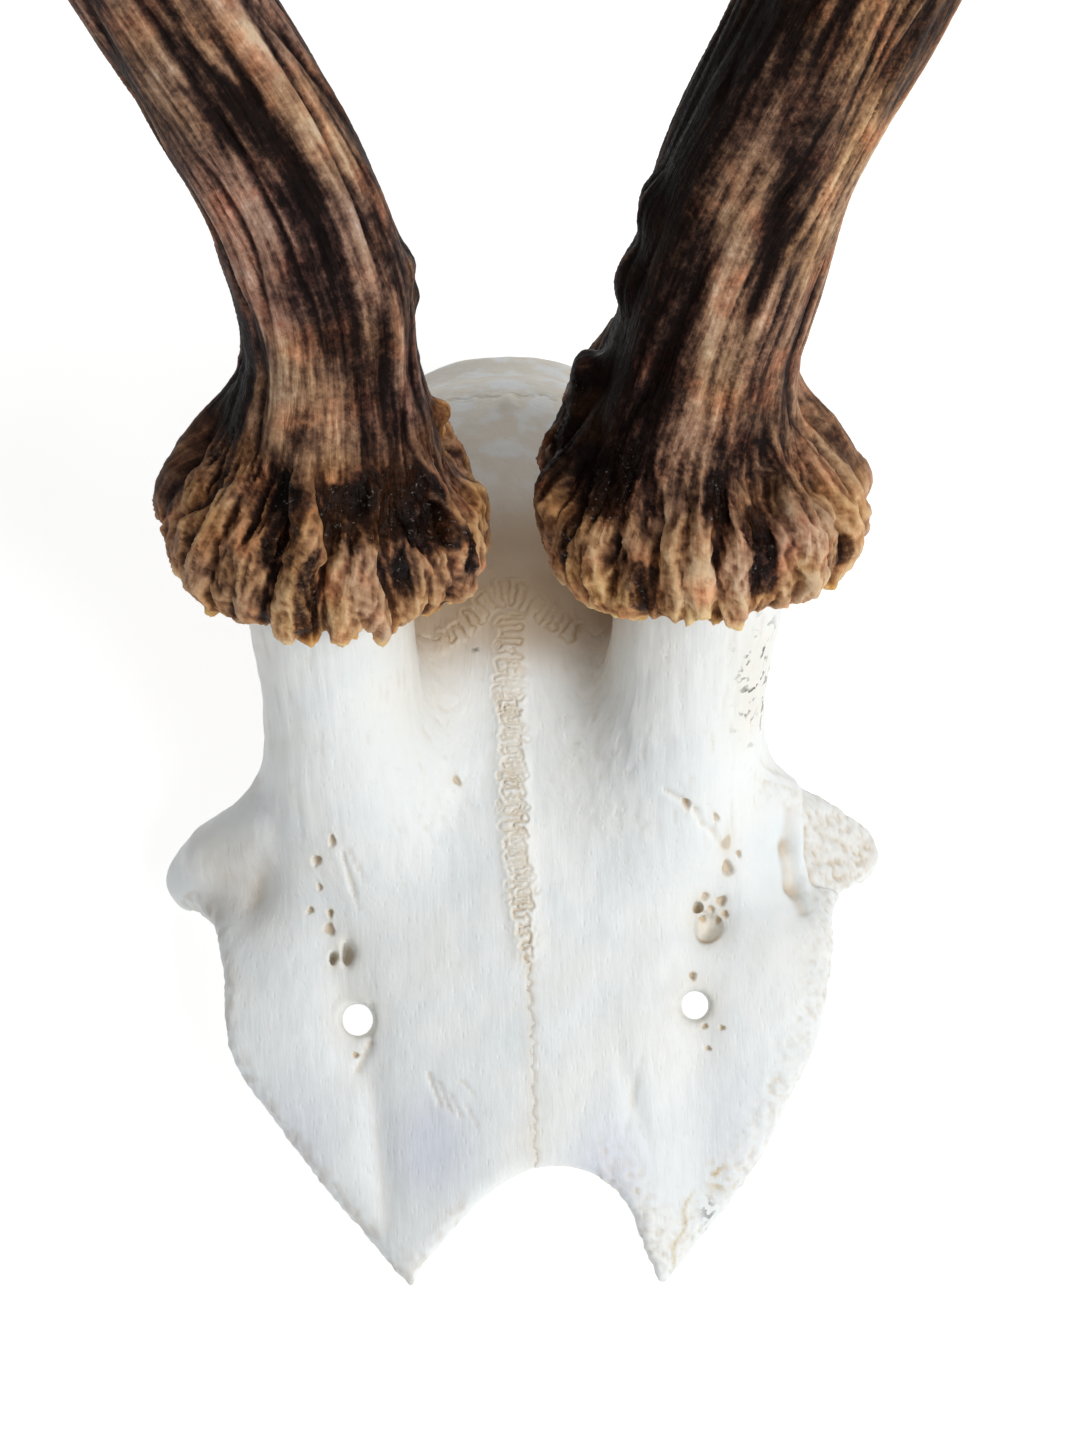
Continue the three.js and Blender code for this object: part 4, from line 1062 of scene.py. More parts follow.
    # small pits, scratches and creases
    for px, py, r, long, depth, turn in PITS:
        near = np.flatnonzero((np.abs(x - px) < 4.5) & (np.abs(y - py) < 4.5) & (top > 0.1))
        if not len(near):
            continue
        c, s = math.cos(turn), math.sin(turn)
        u = (x[near] - px) * c + (y[near] - py) * s
        v = (-(x[near] - px) * s + (y[near] - py) * c) / long
        rr = np.sqrt(u * u + v * v)
        if r < 1.3:
            a = np.arctan2(v, u)
            rr = rr / (1 + 0.12 * np.cos(2 * a + 7 * px) + 0.10 * np.cos(3 * a + 5 * py))
        if r < 0.55:
            hole = np.exp(-((rr / (r * 1.05)) ** 4))
            d[near] -= hole * depth * 0.5
            tan[near] += hole * 0.48
        cream[near] += 0.5 * np.exp(-((rr / (r * 1.5)) ** 2))
        if 0.55 < r < 1.6:
            tan[near] += (0.46 if r < 1.2 else 0.04) * ramp(rr / r, 1.05, 0.6)
            if r > 1.2:
                # painted shadow: a tan crescent on the lower-left rim of the big pit
                tan[near] += 0.55 * ramp(-(0.45 * u + 0.89 * v) / r, 0.25, 0.85) * ramp(rr / r, 0.55, 0.9) * ramp(rr / r, 1.2, 1.0)
    for x0, y0, x1, y1, wide, deep in ((33.3, -10.0, 32.6, -14.2, 1.0, 0.62), (32.6, -14.2, 33.0, -18.4, 1.0, 0.72), (33.0, -18.4, 34.0, -21.6, 0.9, 0.50), (34.8, -9.5, 34.6, -18.0, 0.5, -0.30), (35.5, -10.2, 35.2, -14.0, 0.4, 0.55), (35.2, -14.0, 35.9, -17.6, 0.4, 0.60), (38.0, -10.6, 40.6, -11.2, 0.7, 0.35), (36.6, -13.0, 37.2, -15.6, 0.5, 0.30), (36.0, -14.6, 40.5, -13.4, 0.4, 0.30), (37.2, -9.2, 38.6, -8.6, 0.9, 0.30), (20.2, -11.9, 21.1, -12.2, 0.35, 0.24), (21.1, -12.2, 21.9, -13.4, 0.4, 0.26), (21.9, -13.4, 23.2, -13.9, 0.35, 0.2), (23.2, -13.9, 24.2, -15.2, 0.5, 0.2), (-20.8, -14.8, -20.0, -18.6, 0.26, 0.30), (-20.2, -14.4, -19.3, -16.4, 0.20, 0.24), (-19.9, -17.4, -19.4, -20.4, 0.20, 0.20), (-19.0, -15.8, -18.7, -17.8, 0.16, 0.18), (-11.8, -39.4, -10.5, -43.0, 0.26, 0.32), (-10.6, -40.4, -9.3, -43.8, 0.22, 0.28), (-9.4, -41.6, -8.0, -44.4, 0.18, 0.22), (-8.0, -40.2, -6.6, -41.8, 0.2, 0.16), (-18.5, -31.2, -18.8, -35.4, 0.5, 0.30), (-18.8, -35.4, -20.3, -38.2, 0.5, 0.30),
                                       (-7.6, -42.8, -6.2, -45.6, 0.17, 0.16), (12.0, -48.2, 12.9, -50.2, 0.16, 0.12), (17.6, -10.4, 19.6, -11.4, 0.3, 0.3), (-18.7, -40.3, -17.8, -56.1, 0.9, 0.10), (13.4, -38.8, 11.3, -46.5, 0.45, 0.14)):
        ex, ey = x1 - x0, y1 - y0
        t = np.clip(((x - x0) * ex + (y - y0) * ey) / (ex * ex + ey * ey), 0, 1)
        dist = np.sqrt((x - x0 - t * ex) ** 2 + (y - y0 - t * ey) ** 2)
        mark = deep * np.exp(-((dist / wide) ** 2)) * top
        d -= mark
        shade += 0.45 * np.clip(mark - 0.12, 0, 1)
    # colours
    blue += 0.75 * np.exp(-(((x + 11.9) / 4.5) ** 2) - ((y + 47.5) / 6.0) ** 2) + 0.7 * np.exp(-(((x - 9.3) / 4.2) ** 2) - ((y + 50.5) / 5.0) ** 2)
    blue += 0.35 * np.exp(-(((x + 27) / 6) ** 2) - ((y + 45) / 7.0) ** 2) + 0.25 * np.exp(-(((x - 24) / 5) ** 2) - ((y + 46) / 8.0) ** 2)
    blue *= top
    # behind the stems the bone is painted warmer: partly real staining and partly painted warm light thrown back by the
    # antlers
    cream += 0.20 * ramp(y, -4, 18) + 0.32 * ramp(y, 14, 30)
    # between the burrs: painted shade, brown and tan, where the antlers shadow the bone and throw their colour onto it
    shade += (0.86 + 0.12 * noise(P, 0.16, 71)) * np.exp(-(((y - 17) / 9.5) ** 4)) * ramp(z, 20, 27) * ramp(np.abs(x), 22, 14)
    tan += 0.26 * np.exp(-(((y - 17) / 9.5) ** 4)) * ramp(z, 20, 27) * ramp(np.abs(x), 20, 10)
    cream -= 0.48 * ramp(noise(P, 0.28, 73) + 0.35 * noise(P, 0.8, 74), 0.0, 0.5) * ramp(y, 26, 34)
    cream += 0.25 * np.exp(-(((np.abs(x) - 10.5) / 5) ** 2) - ((y - 6) / 9.0) ** 2)
    gold += 0.85 * np.exp(-(((x - 22.3) / 1.2) ** 2) - ((y + 51.7) / 1.5) ** 2) * ramp(noise(P, 0.9, 43), -0.15, 0.2) * top
    line = np.abs(x - (16.2 + (y + 62) * 0.32 + 0.35 * np.sin(y * 1.4)))
    gold += 0.6 * np.exp(-((line / 0.22) ** 2)) * ramp(y, -62.5, -60.5) * ramp(y, -52.5, -54.5) * top
    stemr = near_pedicle(P, 1)
    ring = stemr[0] * ramp(np.abs(stemr[1] - 19), 12, 4)
    grime += ring * np.exp(-(((x - 28.4) / 2.2) ** 2)) * ramp(noise(P, 0.55, 45), 0.0, 0.3)
    grime += 0.8 * np.exp(-(((x + 4.2) / 0.4) ** 2) - ((y - 8.6) / 0.4) ** 2)
    grime += 0.7 * np.exp(-(((x - 21) / 0.8) ** 2) - ((y + 55.5) / 1.4) ** 2)
    cream += 0.35 * ring * np.exp(-(((x - 28.0) / 3.0) ** 2))
    under = ramp(-N[:, 2], 0.1, 0.6) * (y < 60)
    cream += 0.22 * under
    d *= np.where(z < 0.35, 0.2, 1.0)
    skin.p = skin.p + d[:, None] * N
    skin.p[:, 2] = np.maximum(skin.p[:, 2], 0.02)
    cav = skin.cavity(5)
    cream += np.clip(cav / 0.12 - 0.1, 0, 1) * 0.40
    shade += np.clip(cav / 0.35 - 0.25, 0, 1) * 0.4
    out = dict(cream=cream, tan=tan, shade=shade, grime=grime, gold=gold, blue=blue)
    out = {k: np.clip(v, 0, 1) for k, v in out.items()}
    out["flow"] = flow
    return out


def bone_charts(skin):
    """Top and underside in plan, the stems rolled out, and the brain case as seen from its middle."""
    P = skin.p.astype(F32)
    n = skin.averaged(skin.normals(), 8, 0.9)
    face = np.repeat(np.arange(len(skin.start)), skin.total)
    mid = np.add.reduceat(P[skin.lv], skin.start) / skin.total[:, None]
    fn = np.add.reduceat(n[skin.lv], skin.start) / skin.total[:, None]
    chart = np.where(fn[:, 2] > 0.0, 0, 1)
    uv = P[skin.lv][:, :2].astype(float)
    v = mid - VAULT_C
    k = (np.abs(v / VAULT_R) ** VAULT_P).sum(1) ** (1 / VAULT_P)
    dome = (mid[:, 1] > 16) & (mid[:, 2] < 34)
    chart = np.where(dome, np.where((fn * v).sum(1) > 0, 2, 3), chart)
    w = P[skin.lv] - VAULT_C
    out = np.maximum(np.hypot(w[:, 0], w[:, 1]), 1e-3)
    roll = np.arctan2(out, w[:, 2]) * 34.0 / out
    on_dome = chart[face] >= 2
    uv[on_dome] = (w[:, :2] * roll[:, None])[on_dome]
    for side in (-1, 1):
        f, h, rho = pedicle_field(mid, side)
        stem = (f < 2.0) & (h > 1.0) & (rho > 4) & (mid[:, 0] * side > 4)
        if not stem.any():
            continue
        a, d, length = PEDICLES[side]
        e1 = np.array([1.0, 0, 0], F32) - d[0] * d
        e1 /= np.linalg.norm(e1)
        e2 = np.cross(d, e1)
        w = P[skin.lv] - a
        turn = np.arctan2(w @ e2, w @ e1)
        tm = np.arctan2((mid - a) @ e2, (mid - a) @ e1)
        turn = tm[face] + (turn - tm[face] + np.pi) % (2 * np.pi) - np.pi
        pick = stem[face]
        uv[pick] = np.stack([turn * 10.0, w @ d], 1)[pick]
        chart = np.where(stem, 4 + (side > 0), chart)
        cap = stem & (h > length - 0.4) & ((fn @ d) > 0.7)
        chart = np.where(cap, 6 + (side > 0), chart)
        pick = cap[face]
        uv[pick] = np.stack([w @ e1, w @ e2], 1)[pick]
    return chart, uv


def antler_charts(skin, A):
    """Each limb rolled out along its axis; the foot of the burr and the ends flat."""
    P = skin.p.astype(F32)
    n = skin.averaged(skin.normals(), 6, 0.9)
    face = np.repeat(np.arange(len(skin.start)), skin.total)
    mid = (np.add.reduceat(P[skin.lv], skin.start) / skin.total[:, None]).astype(F32)
    fn = np.add.reduceat(n[skin.lv], skin.start) / skin.total[:, None]
    here = A.limbs(mid)
    dist = np.stack([l[4] for l in here])
    if P[:, 2].max() < 150:
        dist[1:] = 99
    chart = dist.argmin(0)
    uv = np.zeros((len(skin.lv), 2))
    corners = A.limbs(P[skin.lv])
    for j, axis in enumerate((A.main, A.front, A.rear)):
        s, rho, turn = corners[j][:3]
        tm = here[j][2][face]
        turn = tm + (turn - tm + np.pi) % (2 * np.pi) - np.pi
        wide = 14.0 if j == 0 and P[:, 2].max() < 150 else (7.0 if j == 0 else 5.0)
        pick = chart[face] == j
        uv[pick] = np.stack([turn * wide, s], 1)[pick]
    i = np.clip(np.round(here[0][0] / A.main.step), 0, len(A.main.s) - 1).astype(int)
    along = (fn * A.main.t[i]).sum(1)
    foot = (chart == 0) & (along < -0.62) & (here[0][0] < (4 if P[:, 2].max() < 150 else JOIN))
    head = (chart == 0) & (along > 0.8) & (here[0][0] > JOIN + 2.5) & (here[0][0] < JOIN + 4)
    for code, mask in ((4, foot), (5, head)):
        if mask.any():
            pick = mask[face]
            s, rho, turn = corners[0][:3]
            uv[pick] = np.stack([rho * np.cos(turn), rho * np.sin(turn)], 1)[pick]
            chart = np.where(mask, code, chart)
    return chart, uv


GAP = 0.006


def behind(P):
    """Above 0 behind the coronal suture and outside the stems."""
    c = P[:, 1] - coronal_y(P[:, 0]).astype(F32) - 0.35 * np.sin(P[:, 0] * 2.3)
    return np.minimum(np.minimum(c, pedicle_field(P, -1, 2.2)[0]), pedicle_field(P, 1, 2.2)[0])


def lambda_cut(P):
    return P[:, 1] - 45.0 - 0.4 * np.sin(P[:, 0] * 1.7)


def tongued(f, cut):
    """The body in front of a cut, with a thin tongue just under its neighbour's surface."""
    return np.minimum(np.maximum(f, cut + GAP), np.maximum(f + 0.11, cut - 0.45))


def frontal_field(side):
    def f(P):
        cut = side * (seam_x(P[:, 1]).astype(F32) - P[:, 0])
        back = np.minimum(P[:, 1] - coronal_y(P[:, 0]).astype(F32) - 0.35 * np.sin(P[:, 0] * 2.3), pedicle_field(P, side, 2.2)[0])
        return tongued(bone_field(P), np.maximum(cut, back))
    return f


def parietal_field(P):
    return tongued(bone_field(P), np.maximum(-behind(P), lambda_cut(P)))


def occipital_field(P):
    return tongued(bone_field(P), -lambda_cut(P))


def near_marks(P, N):
    x, y = P[:, 0], P[:, 1]
    pick = (np.abs(x - suture_x(y)) < 2.7) & (y > -29) & (y < 15)
    pick |= (np.abs(y - coronal_y(x) + 0.4) < 2.6) & (np.abs(x) < 9.8)
    for px, py, r, long, depth, turn in PITS:
        if r < 1.7:
            pick |= (x - px) ** 2 + ((y - py) / long) ** 2 < (r + 0.55) ** 2
    return pick & (N[:, 2] > 0.3)


for _name, _f, _lo, _hi, _h, _nodes in (
    ("skull_frontal_right", frontal_field(-1), (-47, -66, -1), (3, 24, 52), 0.36, ("frontal_right",)),
    ("skull_frontal_left", frontal_field(1), (-3, -66, -1), (47.5, 24, 52), 0.36, ("frontal_left",)),
    ("skull_parietal", parietal_field, (-31, -8, -1), (31, 47, 36), 0.46, ("parietal",)),
    ("skull_occipital", occipital_field, (-27, 43, -1), (27, 60, 30), 0.46, ("occipital",)),
):
    _pts, _quads = surface_of(_f, _lo, _hi, _h)
    _pts, _quads = largest_body(_pts, _quads)
    _skin = Skin(_pts, _quads)
    _n = _skin.normals()
    _pick = near_marks(_skin.p, _n)
    _face = _pick[_skin.lv].reshape(-1, 4).all(1)
    if _face.any():
        _skin.refine(_face, 2)
        _skin.fit(_f)
    _attrs = bone_detail(_skin)
    piece(_name, _skin, _attrs, BONE, _nodes, bone_charts(_skin))


# ------------------------------------------------------------------ antler surfaces
def furrows(s, turn, r, seed):
    """Height in millimetres and the marks of the lengthwise furrows round one limb."""
    k = np.clip(r / 10.0, 0.12, 1.1)
    tw = turn + 0.16 * np.sin(s / 21.0 + seed) + 0.05 * np.sin(s / 6.3 + 2.0 * seed)
    base = np.stack([np.cos(tw), np.sin(tw), s], 1).astype(F32)

    def n(R, L, j):
        q = base * np.stack([R * k**0.7, R * k**0.7, np.full(len(s), 1.0 / L)], 1).astype(F32)
        return noise(q, 1.0, seed + j)

    warp = 0.35 * n(3.0, 11.0, 9.0)
    n1, n2, n3, n4 = n(2.1, 42.0, 1.0) + 0.12 * warp, n(4.6, 20.0, 2.0) + 0.2 * warp, n(9.5, 10.0, 3.0), n(19.0, 5.0, 4.0)
    broad, patch = n(1.1, 24.0, 5.0), n(2.4, 13.0, 6.0)
    g1, g2, g3 = np.exp(-((n1 / 0.17) ** 2)), np.exp(-((n2 / 0.22) ** 2)), np.exp(-((n3 / 0.30) ** 2))
    gate = ramp(patch, -0.4, 0.3)
    h = 0.50 * broad + 0.5 * np.abs(n1) - 0.62 * g1 * (0.3 + 0.7 * gate) - 0.24 * g2 * (0.4 + 0.6 * gate) - 0.06 * g3 + 0.05 * n4
    h *= np.clip(r / 8.0, 0.1, 1.0) ** 1.1
    tone = 0.50 + 0.09 * n2 + 0.12 * n3 + 0.15 * n4 + 0.09 * patch - 0.15 * g1 - 0.09 * g2 + 0.06 * np.abs(n1)
    return h.astype(F32), tone.astype(F32)


# marks on the beams: side, station, turn in degrees, half length, half width in mm, change of tone, height. The dark
# marks at turns -62 to -84 (the outer side of the right antler, the inner side of the left antler) are partly dark
# colour and partly painted shade; the pale mark at turn 68 on the left antler is partly painted light on its outer
# side.
MARKS = [
    (-1, 44, -84, 44, 2.8, -0.36, 0), (-1, 25, -70, 17, 3.0, -0.26, 0), (-1, 24, -32, 13, 3.0, 0.12, 0), (-1, 23, 40, 12, 4.2, -0.10, 0), (-1, 40, -29, 24, 3.2, 0.15, 0.25), (-1, 52, 33, 7, 3.4, -0.26, -0.3), (-1, 43, 27, 5, 2.2, -0.22, -0.2), (-1, 57, 8, 5, 2.2, -0.20, 0), (-1, 31, 13, 11, 2.2, -0.18, 0),
    (-1, 57, 52, 8, 1.7, 0.16, 0.5), (-1, 40, 48, 14, 0.9, 0.15, 0.45), (-1, 24, 54, 10, 0.8, 0.16, 0.35), (-1, 28, 84, 12, 3.0, -0.14, 0), (-1, 68, 42, 7, 4.0, 0.18, 0), (-1, 23, 8, 7, 2.0, 0.18, 0), (-1, 47, -2, 5, 1.5, 0.26, 0.1),
    (-1, 33, 64, 14, 1.2, -0.20, -0.1), (-1, 35, -62, 30, 1.4, -0.18, 0),
    (1, 42, -74, 46, 7.0, -0.46, 0), (1, 50, -28, 10, 1.2, 0.26, 0.3), (1, 38, -17, 12, 1.0, 0.18, 0.35), (1, 25, -14, 9, 0.9, 0.15, 0.3), (1, 60, -22, 9, 2.0, -0.22, -0.2), (1, 49, -2, 8, 1.6, -0.22, -0.25), (1, 41, 7, 6, 1.4, -0.18, -0.1),
    (1, 30, -33, 12, 1.8, -0.16, -0.1), (1, 52, 27, 9, 2.2, 0.20, 0.2), (1, 50, 68, 34, 4.0, 0.14, 0), (1, 28, 52, 8, 0.9, -0.28, -0.2), (1, 26, 14, 10, 4.0, 0.05, 0.1), (1, 18, 88, 7, 7.0, 0.22, 0), (1, 15, -104, 9, 4.5, 0.24, 0), (1, 66, 35, 8, 3.0, -0.12, 0), (1, 38, 36, 8, 1.4, 0.16, 0.15), (1, 34, 22, 9, 1.0, -0.18, -0.1),
]
# glossy black patches on the burrs: side, station, turn in degrees, half length, half width in mm, strength. The wide
# patch at turn -104 on the left burr is partly black and partly painted shade on its inner rear side.
BLACKS = [
    (-1, 12.6, -18, 4.4, 2.6, 1.0), (-1, 13.6, 5, 3.2, 2.4, 0.95), (-1, 13.8, 24, 3.6, 3.4, 1.0), (-1, 12.8, 45, 4.4, 2.8, 0.95), (-1, 5.4, -6, 5.6, 1.2, 0.95), (-1, 8.4, 56, 3.8, 1.3, 0.9), (-1, 7.0, 31, 3.0, 0.9, 0.8),
    (1, 7.5, 18, 5.0, 1.9, 1.0), (1, 4.0, -25, 3.5, 1.6, 0.9), (1, 14.0, -44, 4.5, 3.0, 0.7), (1, 13.5, 4, 3.0, 1.6, 0.7), (1, 9.0, -60, 6.0, 1.1, 0.8), (1, 21.0, -104, 3.5, 6.0, 0.45), (1, 4.0, 55, 2.0, 1.2, 0.8),
]


def antler_detail(skin, A):
    P, N = skin.p.astype(F32), skin.normals()
    limbs = A.limbs(P)
    dist = np.stack([l[4] for l in limbs])
    if skin.p[:, 2].max() < 150:
        dist[1:] = 99
    else:
        dist[1:] += 9 * ramp(A.past_join(P), 11, 3)
    w = np.exp(-(dist - dist.min(0)) / 0.9)
    w /= w.sum(0)
    pick = w.argmax(0)
    height, tone = np.zeros(len(P), F32), np.zeros(len(P), F32)
    for j, (s, rho, turn, r, _, _) in enumerate(limbs):
        near = np.flatnonzero(w[j] > 0.01)
        if len(near):
            h, t = furrows(s[near], turn[near], r[near], 5.0 + 7 * j + 3 * A.side)
            height[near] += w[j, near] * h
            tone[near] += w[j, near] * t
    flow = np.zeros((len(P), 3), F32)
    for j, (s, rho, turn, r, _, _) in enumerate(limbs):
        tw = turn + 0.16 * np.sin(s / 21.0 + 5.0 + 7 * j + 3 * A.side)
        rr = np.clip(r, 2.0, 11.0)
        fl = np.stack([rr * np.cos(tw) + 31 * j, rr * np.sin(tw), s], 1)
        flow = np.where((pick == j)[:, None], fl, flow)
    s, rho, turn, r = limbs[0][:4]
    main = w[0]
    burr = ramp(s, 22, 13) * (P[:, 2] < 74)
    amber, gloss_and_glint, calm = np.zeros(len(P), F32), np.zeros(len(P), F32), np.zeros(len(P), F32)
    deg = np.degrees(turn)
    for side, ms, mt, ml, mw, dtone, dh in MARKS:
        if side == A.side:
            across = ((deg - mt + 180) % 360 - 180) * np.pi / 180 * np.maximum(r, 4)
            g = np.exp(-(((s - ms) / ml) ** 4) - (across / mw) ** 2) * main
            tone += dtone * g
            height += dh * g
    height *= 1 - 0.75 * burr
    tone += 0.10 * noise(P, 0.40, 81) + 0.08 * noise(P, 1.0, 83)
    # rough, knobby skin of the burr and the lower beam
    knob = noise(P, 0.42, 51 + A.side)
    crumb = noise(P, 0.95, 53 + A.side)
    grit = noise(P, 2.1, 55 + A.side)
    inner = ramp(np.cos(turn - np.radians(A.inner * 118)), 0.2, 0.9) * ramp(s, 85, 50)
    coarse = np.maximum(burr, 0.3 * inner)
    upright = np.stack([np.cos(turn) * 9.0, np.sin(turn) * 9.0, s / 5.5], 1).astype(F32)
    ribs, ribs2 = noise(upright, 1.0, 61 + A.side), noise(upright * F32(2.1), 1.0, 63 + A.side)
    keel, keel2 = np.clip(1 - np.abs(ribs) * 3.0, 0, 1), np.clip(1 - np.abs(ribs2) * 2.6, 0, 1)
    sleek = ramp(np.abs((deg - (88 if A.side > 0 else -99) + 180) % 360 - 180), 24, 12) * ramp(s, 5.0, 8.5)
    coarse = coarse * (1 - 0.75 * sleek)
    height += coarse * (0.12 * knob + 0.12 * crumb + 0.07 * grit) + (1 - coarse) * 0.03 * grit + burr * (1 - 0.85 * sleek) * (0.14 * ribs + 0.42 * keel + 0.18 * keel2 - 0.16)
    if skin.p[:, 2].min() < 74:
        b = np.flatnonzero(s < 26)
        gap, tint = A.lobe_marks(P[b], turn[b])
        on = ramp(gap, 0.75, 0.05)
        low = ramp(s[b], 5.5, -1.0)
        fade = ramp(s[b], 16.0, 8.0)
        lobe_tone = 0.27 + 0.07 * (A.side > 0) + on * (0.10 + 0.28 * tint * fade) + 0.10 * keel[b] + 0.05 * keel2[b] + 0.05 * ribs2[b] + 0.04 * crumb[b] + 0.08 * grit[b]
        # the smooth outer shoulder of each burr; the right antler's is kept dark, partly its own brown and partly
        # painted shade on the side turned from the light
        lobe_tone = lobe_tone + sleek[b] * ((0.40 if A.side > 0 else 0.17) - 0.6 * lobe_tone)
        f = burr[b] * fade if A.side > 0 else burr[b]
        tone[b] = (tone[b] - 0.05 * burr[b]) * (1 - f) + lobe_tone * f
        black = np.zeros(len(b), F32)
        for side, ms, mt, ml, mw, strong in BLACKS:
            if side == A.side:
                across = ((deg[b] - mt + 180) % 360 - 180) * np.pi / 180 * np.maximum(rho[b], 10)
                black = np.maximum(black, strong * np.exp(-(((s[b] - ms) / ml) ** 4) - (across / mw) ** 4))
        black = ramp(black + 0.22 * knob[b] + 0.18 * crumb[b] + 0.14 * ribs2[b], 0.30, 0.62)
        tone[b] -= 0.40 * black
        calm[b] = f * (1 - black)
        # the glossy mask: black patches and gaps between lobes are glossy, and the same mask places the painted glints
        gloss_and_glint[b] += black + 0.22 * f * (1 - on)
        gold = low * np.clip(0.40 + 0.9 * noise(P[b], 0.22, 57 + A.side) + 0.25 * (1 - on), 0, 1)
        gold = np.maximum(gold, ramp(s[b], 0.6, -1.0))
        amber[b] = np.clip(np.maximum(gold, f * (0.08 + 0.42 * noise(P[b], 0.18, 58 + A.side))), 0, 1)
        tone[b] += 0.20 * gold
    tip = ramp(np.where(pick == 0, limbs[0][5] * A.main.length, np.where(pick == 1, limbs[1][5] * A.front.length, limbs[2][5] * A.rear.length)), 26, 3) * (P[:, 2] > 120)
    tone += 0.62 * tip
    height *= 1 - 0.7 * tip
    bend = (P - A.main.p[A.bend]) @ A.main.t[A.bend]
    seam = np.maximum(np.exp(-((A.past_join(P) / 3.0) ** 2)), np.exp(-((bend / 4.5) ** 2))).astype(F32)
    height *= 1 - 0.88 * seam
    tone += seam * 0.75 * (0.48 - tone + 0.14 * noise(P, 0.35, 85) + 0.10 * noise(P, 0.9, 87))
    gloss_and_glint += 0.5 * tip
    skin.p = skin.p + height[:, None] * N
    cav = skin.cavity(6)
    tone += np.clip(-cav / 0.16, -1.2, 1.0) * np.where(burr > 0.5, 0.17, 0.15) + 0.03 * (A.side > 0)
    spot = np.exp(-(((s - 18.0) / 2.8) ** 2) - (((deg - 104) / 12.0) ** 2)) if A.side < 0 else 0
    amber = np.clip(amber + 0.9 * spot + 0.22 * inner * ramp(noise(P, 0.13, 59), 0.1, 0.5) * (s < 40), 0, 1)
    # the inner side of the left antler is darkened: partly dark colour and partly painted shade on the side turned from
    # the light
    tone = tone + 0.15 * spot - 0.16 * inner * (A.side > 0)
    tone = 0.06 + smax(tone - 0.06, np.zeros_like(tone), 0.20) + 0.012
    plum = (1 - burr) * (0.75 if A.side < 0 else 0.1) * (1 - tip)
    return dict(flow=flow, tone=np.clip(tone, 0, 1), amber=amber, gloss_and_glint=np.clip(gloss_and_glint, 0, 1), calm=np.clip(calm, 0, 1), plum=plum.astype(F32))




def lower(A):
    def f(P):
        h = A.past_join(P)
        return np.maximum(A.field(P) + 0.6 * ramp(h, 0, 2.5), h - 3)
    return f


def upper(A):
    def f(P):
        h = A.past_join(P)
        return np.maximum(A.field(P) - 0.03 + 0.6 * ramp(h, 0, -2.5), -3 - h)
    return f


for _side, _name in ((-1, "right"), (1, "left")):
    _a = ANTLERS[_side]
    _x = (-60, 2) if _side < 0 else (-2, 66)
    for _part, _f, _lo, _hi, _h, _nodes in (
        ("lower", lower(_a), (_x[0], -8, 36), (_x[1], 88, 137), 0.37, (f"antler_{_name}_beam",)),
        ("upper", upper(_a), (-70 if _side < 0 else 32, 40, 100), (-32 if _side < 0 else 75, 113, 239), 0.37, (f"antler_{_name}_upper_beam", f"antler_{_name}_top_tine", f"antler_{_name}_front_tine", f"antler_{_name}_rear_tine")),
    ):
        _pts, _quads = surface_of(_f, _lo, _hi, _h)
        _pts, _quads = largest_body(_pts, _quads)
        _skin = Skin(_pts, _quads)
        _attrs = antler_detail(_skin, _a)
        piece(f"antler_{_name}_{_part}_surface", _skin, _attrs, ANTLER, _nodes, antler_charts(_skin, _a))


# ------------------------------------------------------------------ floor, light, camera
def floor_material():
    k = Nodes("pale_floor")
    place = k.place()
    n = k.noise(place, 9.0, 3.0, 0.5)
    colour = k.ramp(n, [(0.3, (0.50, 0.50, 0.50)), (0.7, (0.52, 0.52, 0.52))])
    k.bsdf.inputs["Emission Color"].default_value = (1, 1, 1, 1)
    k.bsdf.inputs["Emission Strength"].default_value = 0.74
    normal = k.bump(k.noise(place, 700.0, 3.0, 0.6), 0.1, 0.0001)
    return k.finish(colour, 0.85, normal, Specular_IOR_Level=0.2)


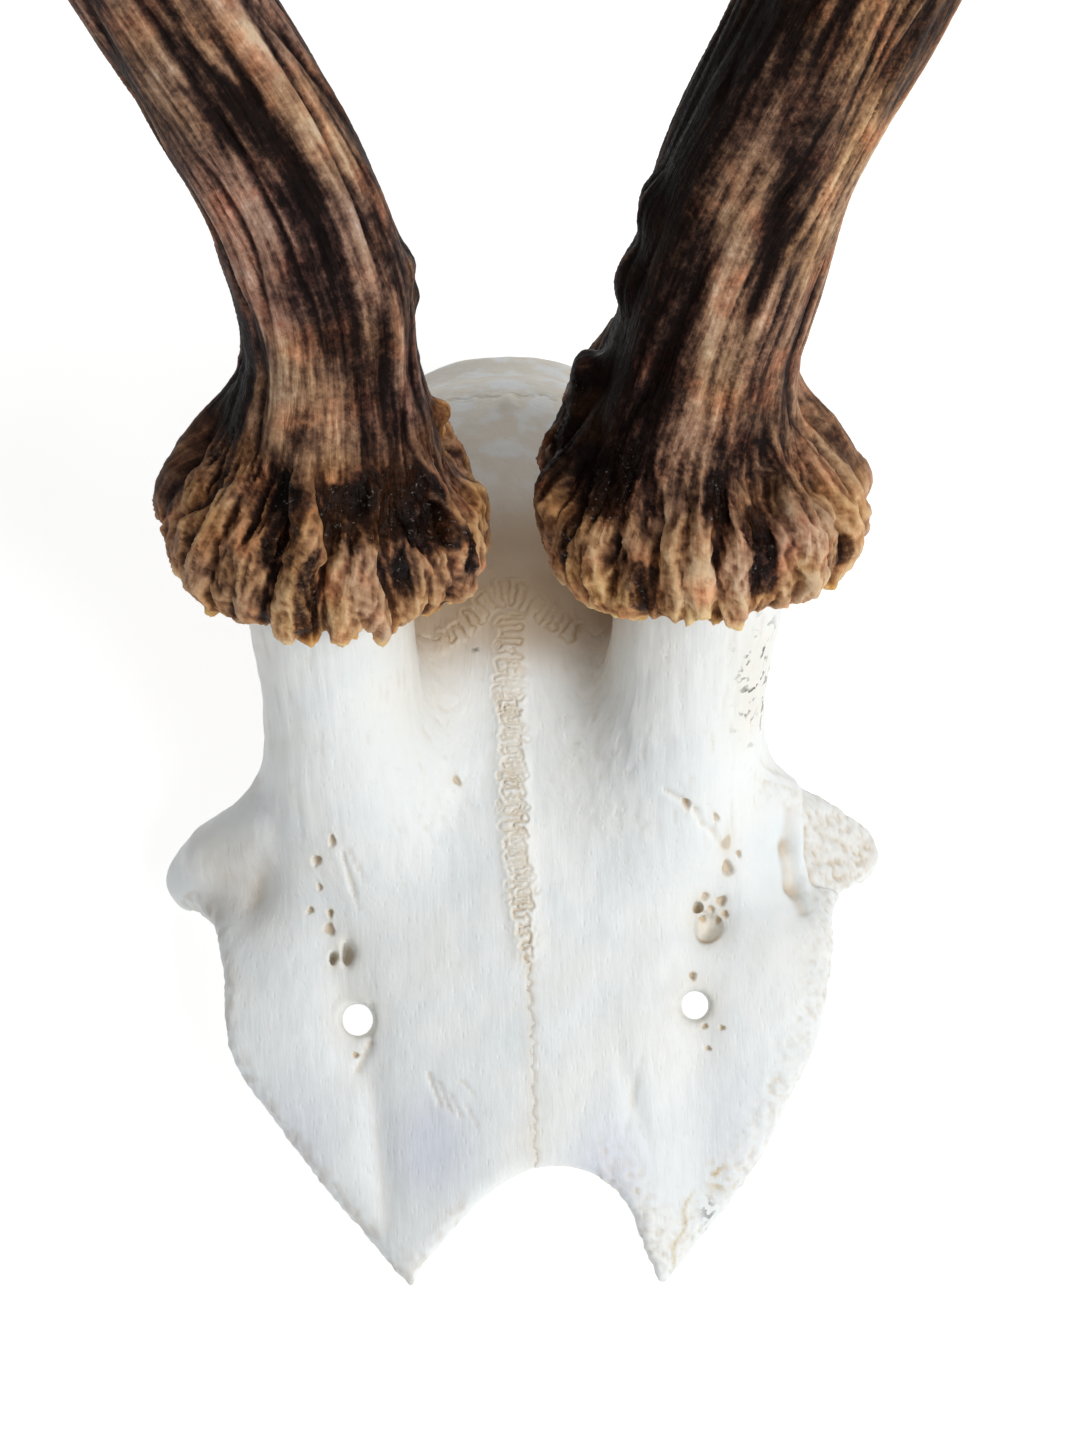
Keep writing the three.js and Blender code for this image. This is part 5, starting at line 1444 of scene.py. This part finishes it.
bpy.ops.mesh.primitive_plane_add(size=6.0, location=(0, 0, 0))
floor = bpy.context.object
floor.name = "floor"
floor.data.materials.append(floor_material())


def area_light(name, at, target, size, watts, colour=(1, 1, 1), size_y=None):
    data = bpy.data.lights.new(name, "AREA")
    data.energy, data.color, data.size = watts, colour, size
    if size_y:
        data.shape, data.size_y = "RECTANGLE", size_y
    ob = bpy.data.objects.new(name, data)
    bpy.context.scene.collection.objects.link(ob)
    ob.location = at
    ob.rotation_euler = (Vector(target) - Vector(at)).to_track_quat("-Z", "Y").to_euler()
    return ob


area_light("key_light", (0.50, -0.34, 0.62), (0, 0, 0.04), 0.38, 4.6, (1.0, 0.998, 0.99))
area_light("front_light", (0.05, -0.85, 0.75), (0, 0, 0.03), 0.8, 1.8, (0.97, 0.985, 1.0))
area_light("back_light", (0.12, 0.75, 0.70), (0, 0.02, 0.03), 0.5, 1.4, (1.0, 0.965, 0.92))
area_light("top_light", (0.0, 0.25, 1.2), (0, 0, 0.03), 1.2, 2.0, (1, 1, 0.99))
world = bpy.data.worlds.new("soft_room")
bpy.context.scene.world = world
world.use_nodes = True
world.node_tree.nodes["Background"].inputs[0].default_value = (1, 1, 1, 1)
world.node_tree.nodes["Background"].inputs[1].default_value = 0.17
bpy.context.scene.view_settings.view_transform = "Standard"

ELEVATION, ROLL = math.radians(69.0), math.radians(2.3)
cam = bpy.data.cameras.new("view")
cam.lens, cam.sensor_width, cam.clip_start, cam.clip_end = 60.25, 36.0, 0.01, 10.0
view = bpy.data.objects.new("view", cam)
bpy.context.scene.collection.objects.link(view)
right0, up0 = Vector((1, 0, 0)), Vector((0, math.sin(ELEVATION), math.cos(ELEVATION)))
right = right0 * math.cos(ROLL) - up0 * math.sin(ROLL)
up = right0 * math.sin(ROLL) + up0 * math.cos(ROLL)
back = Vector((0, -math.cos(ELEVATION), math.sin(ELEVATION)))
at = (Vector((3.171, 0, 28.83)) + back * 288.3 - Vector(SHIFT)) / 1000
turn = Matrix((right, up, back)).transposed().to_4x4()
view.matrix_world = Matrix.Translation(at) @ turn
bpy.context.scene.camera = view
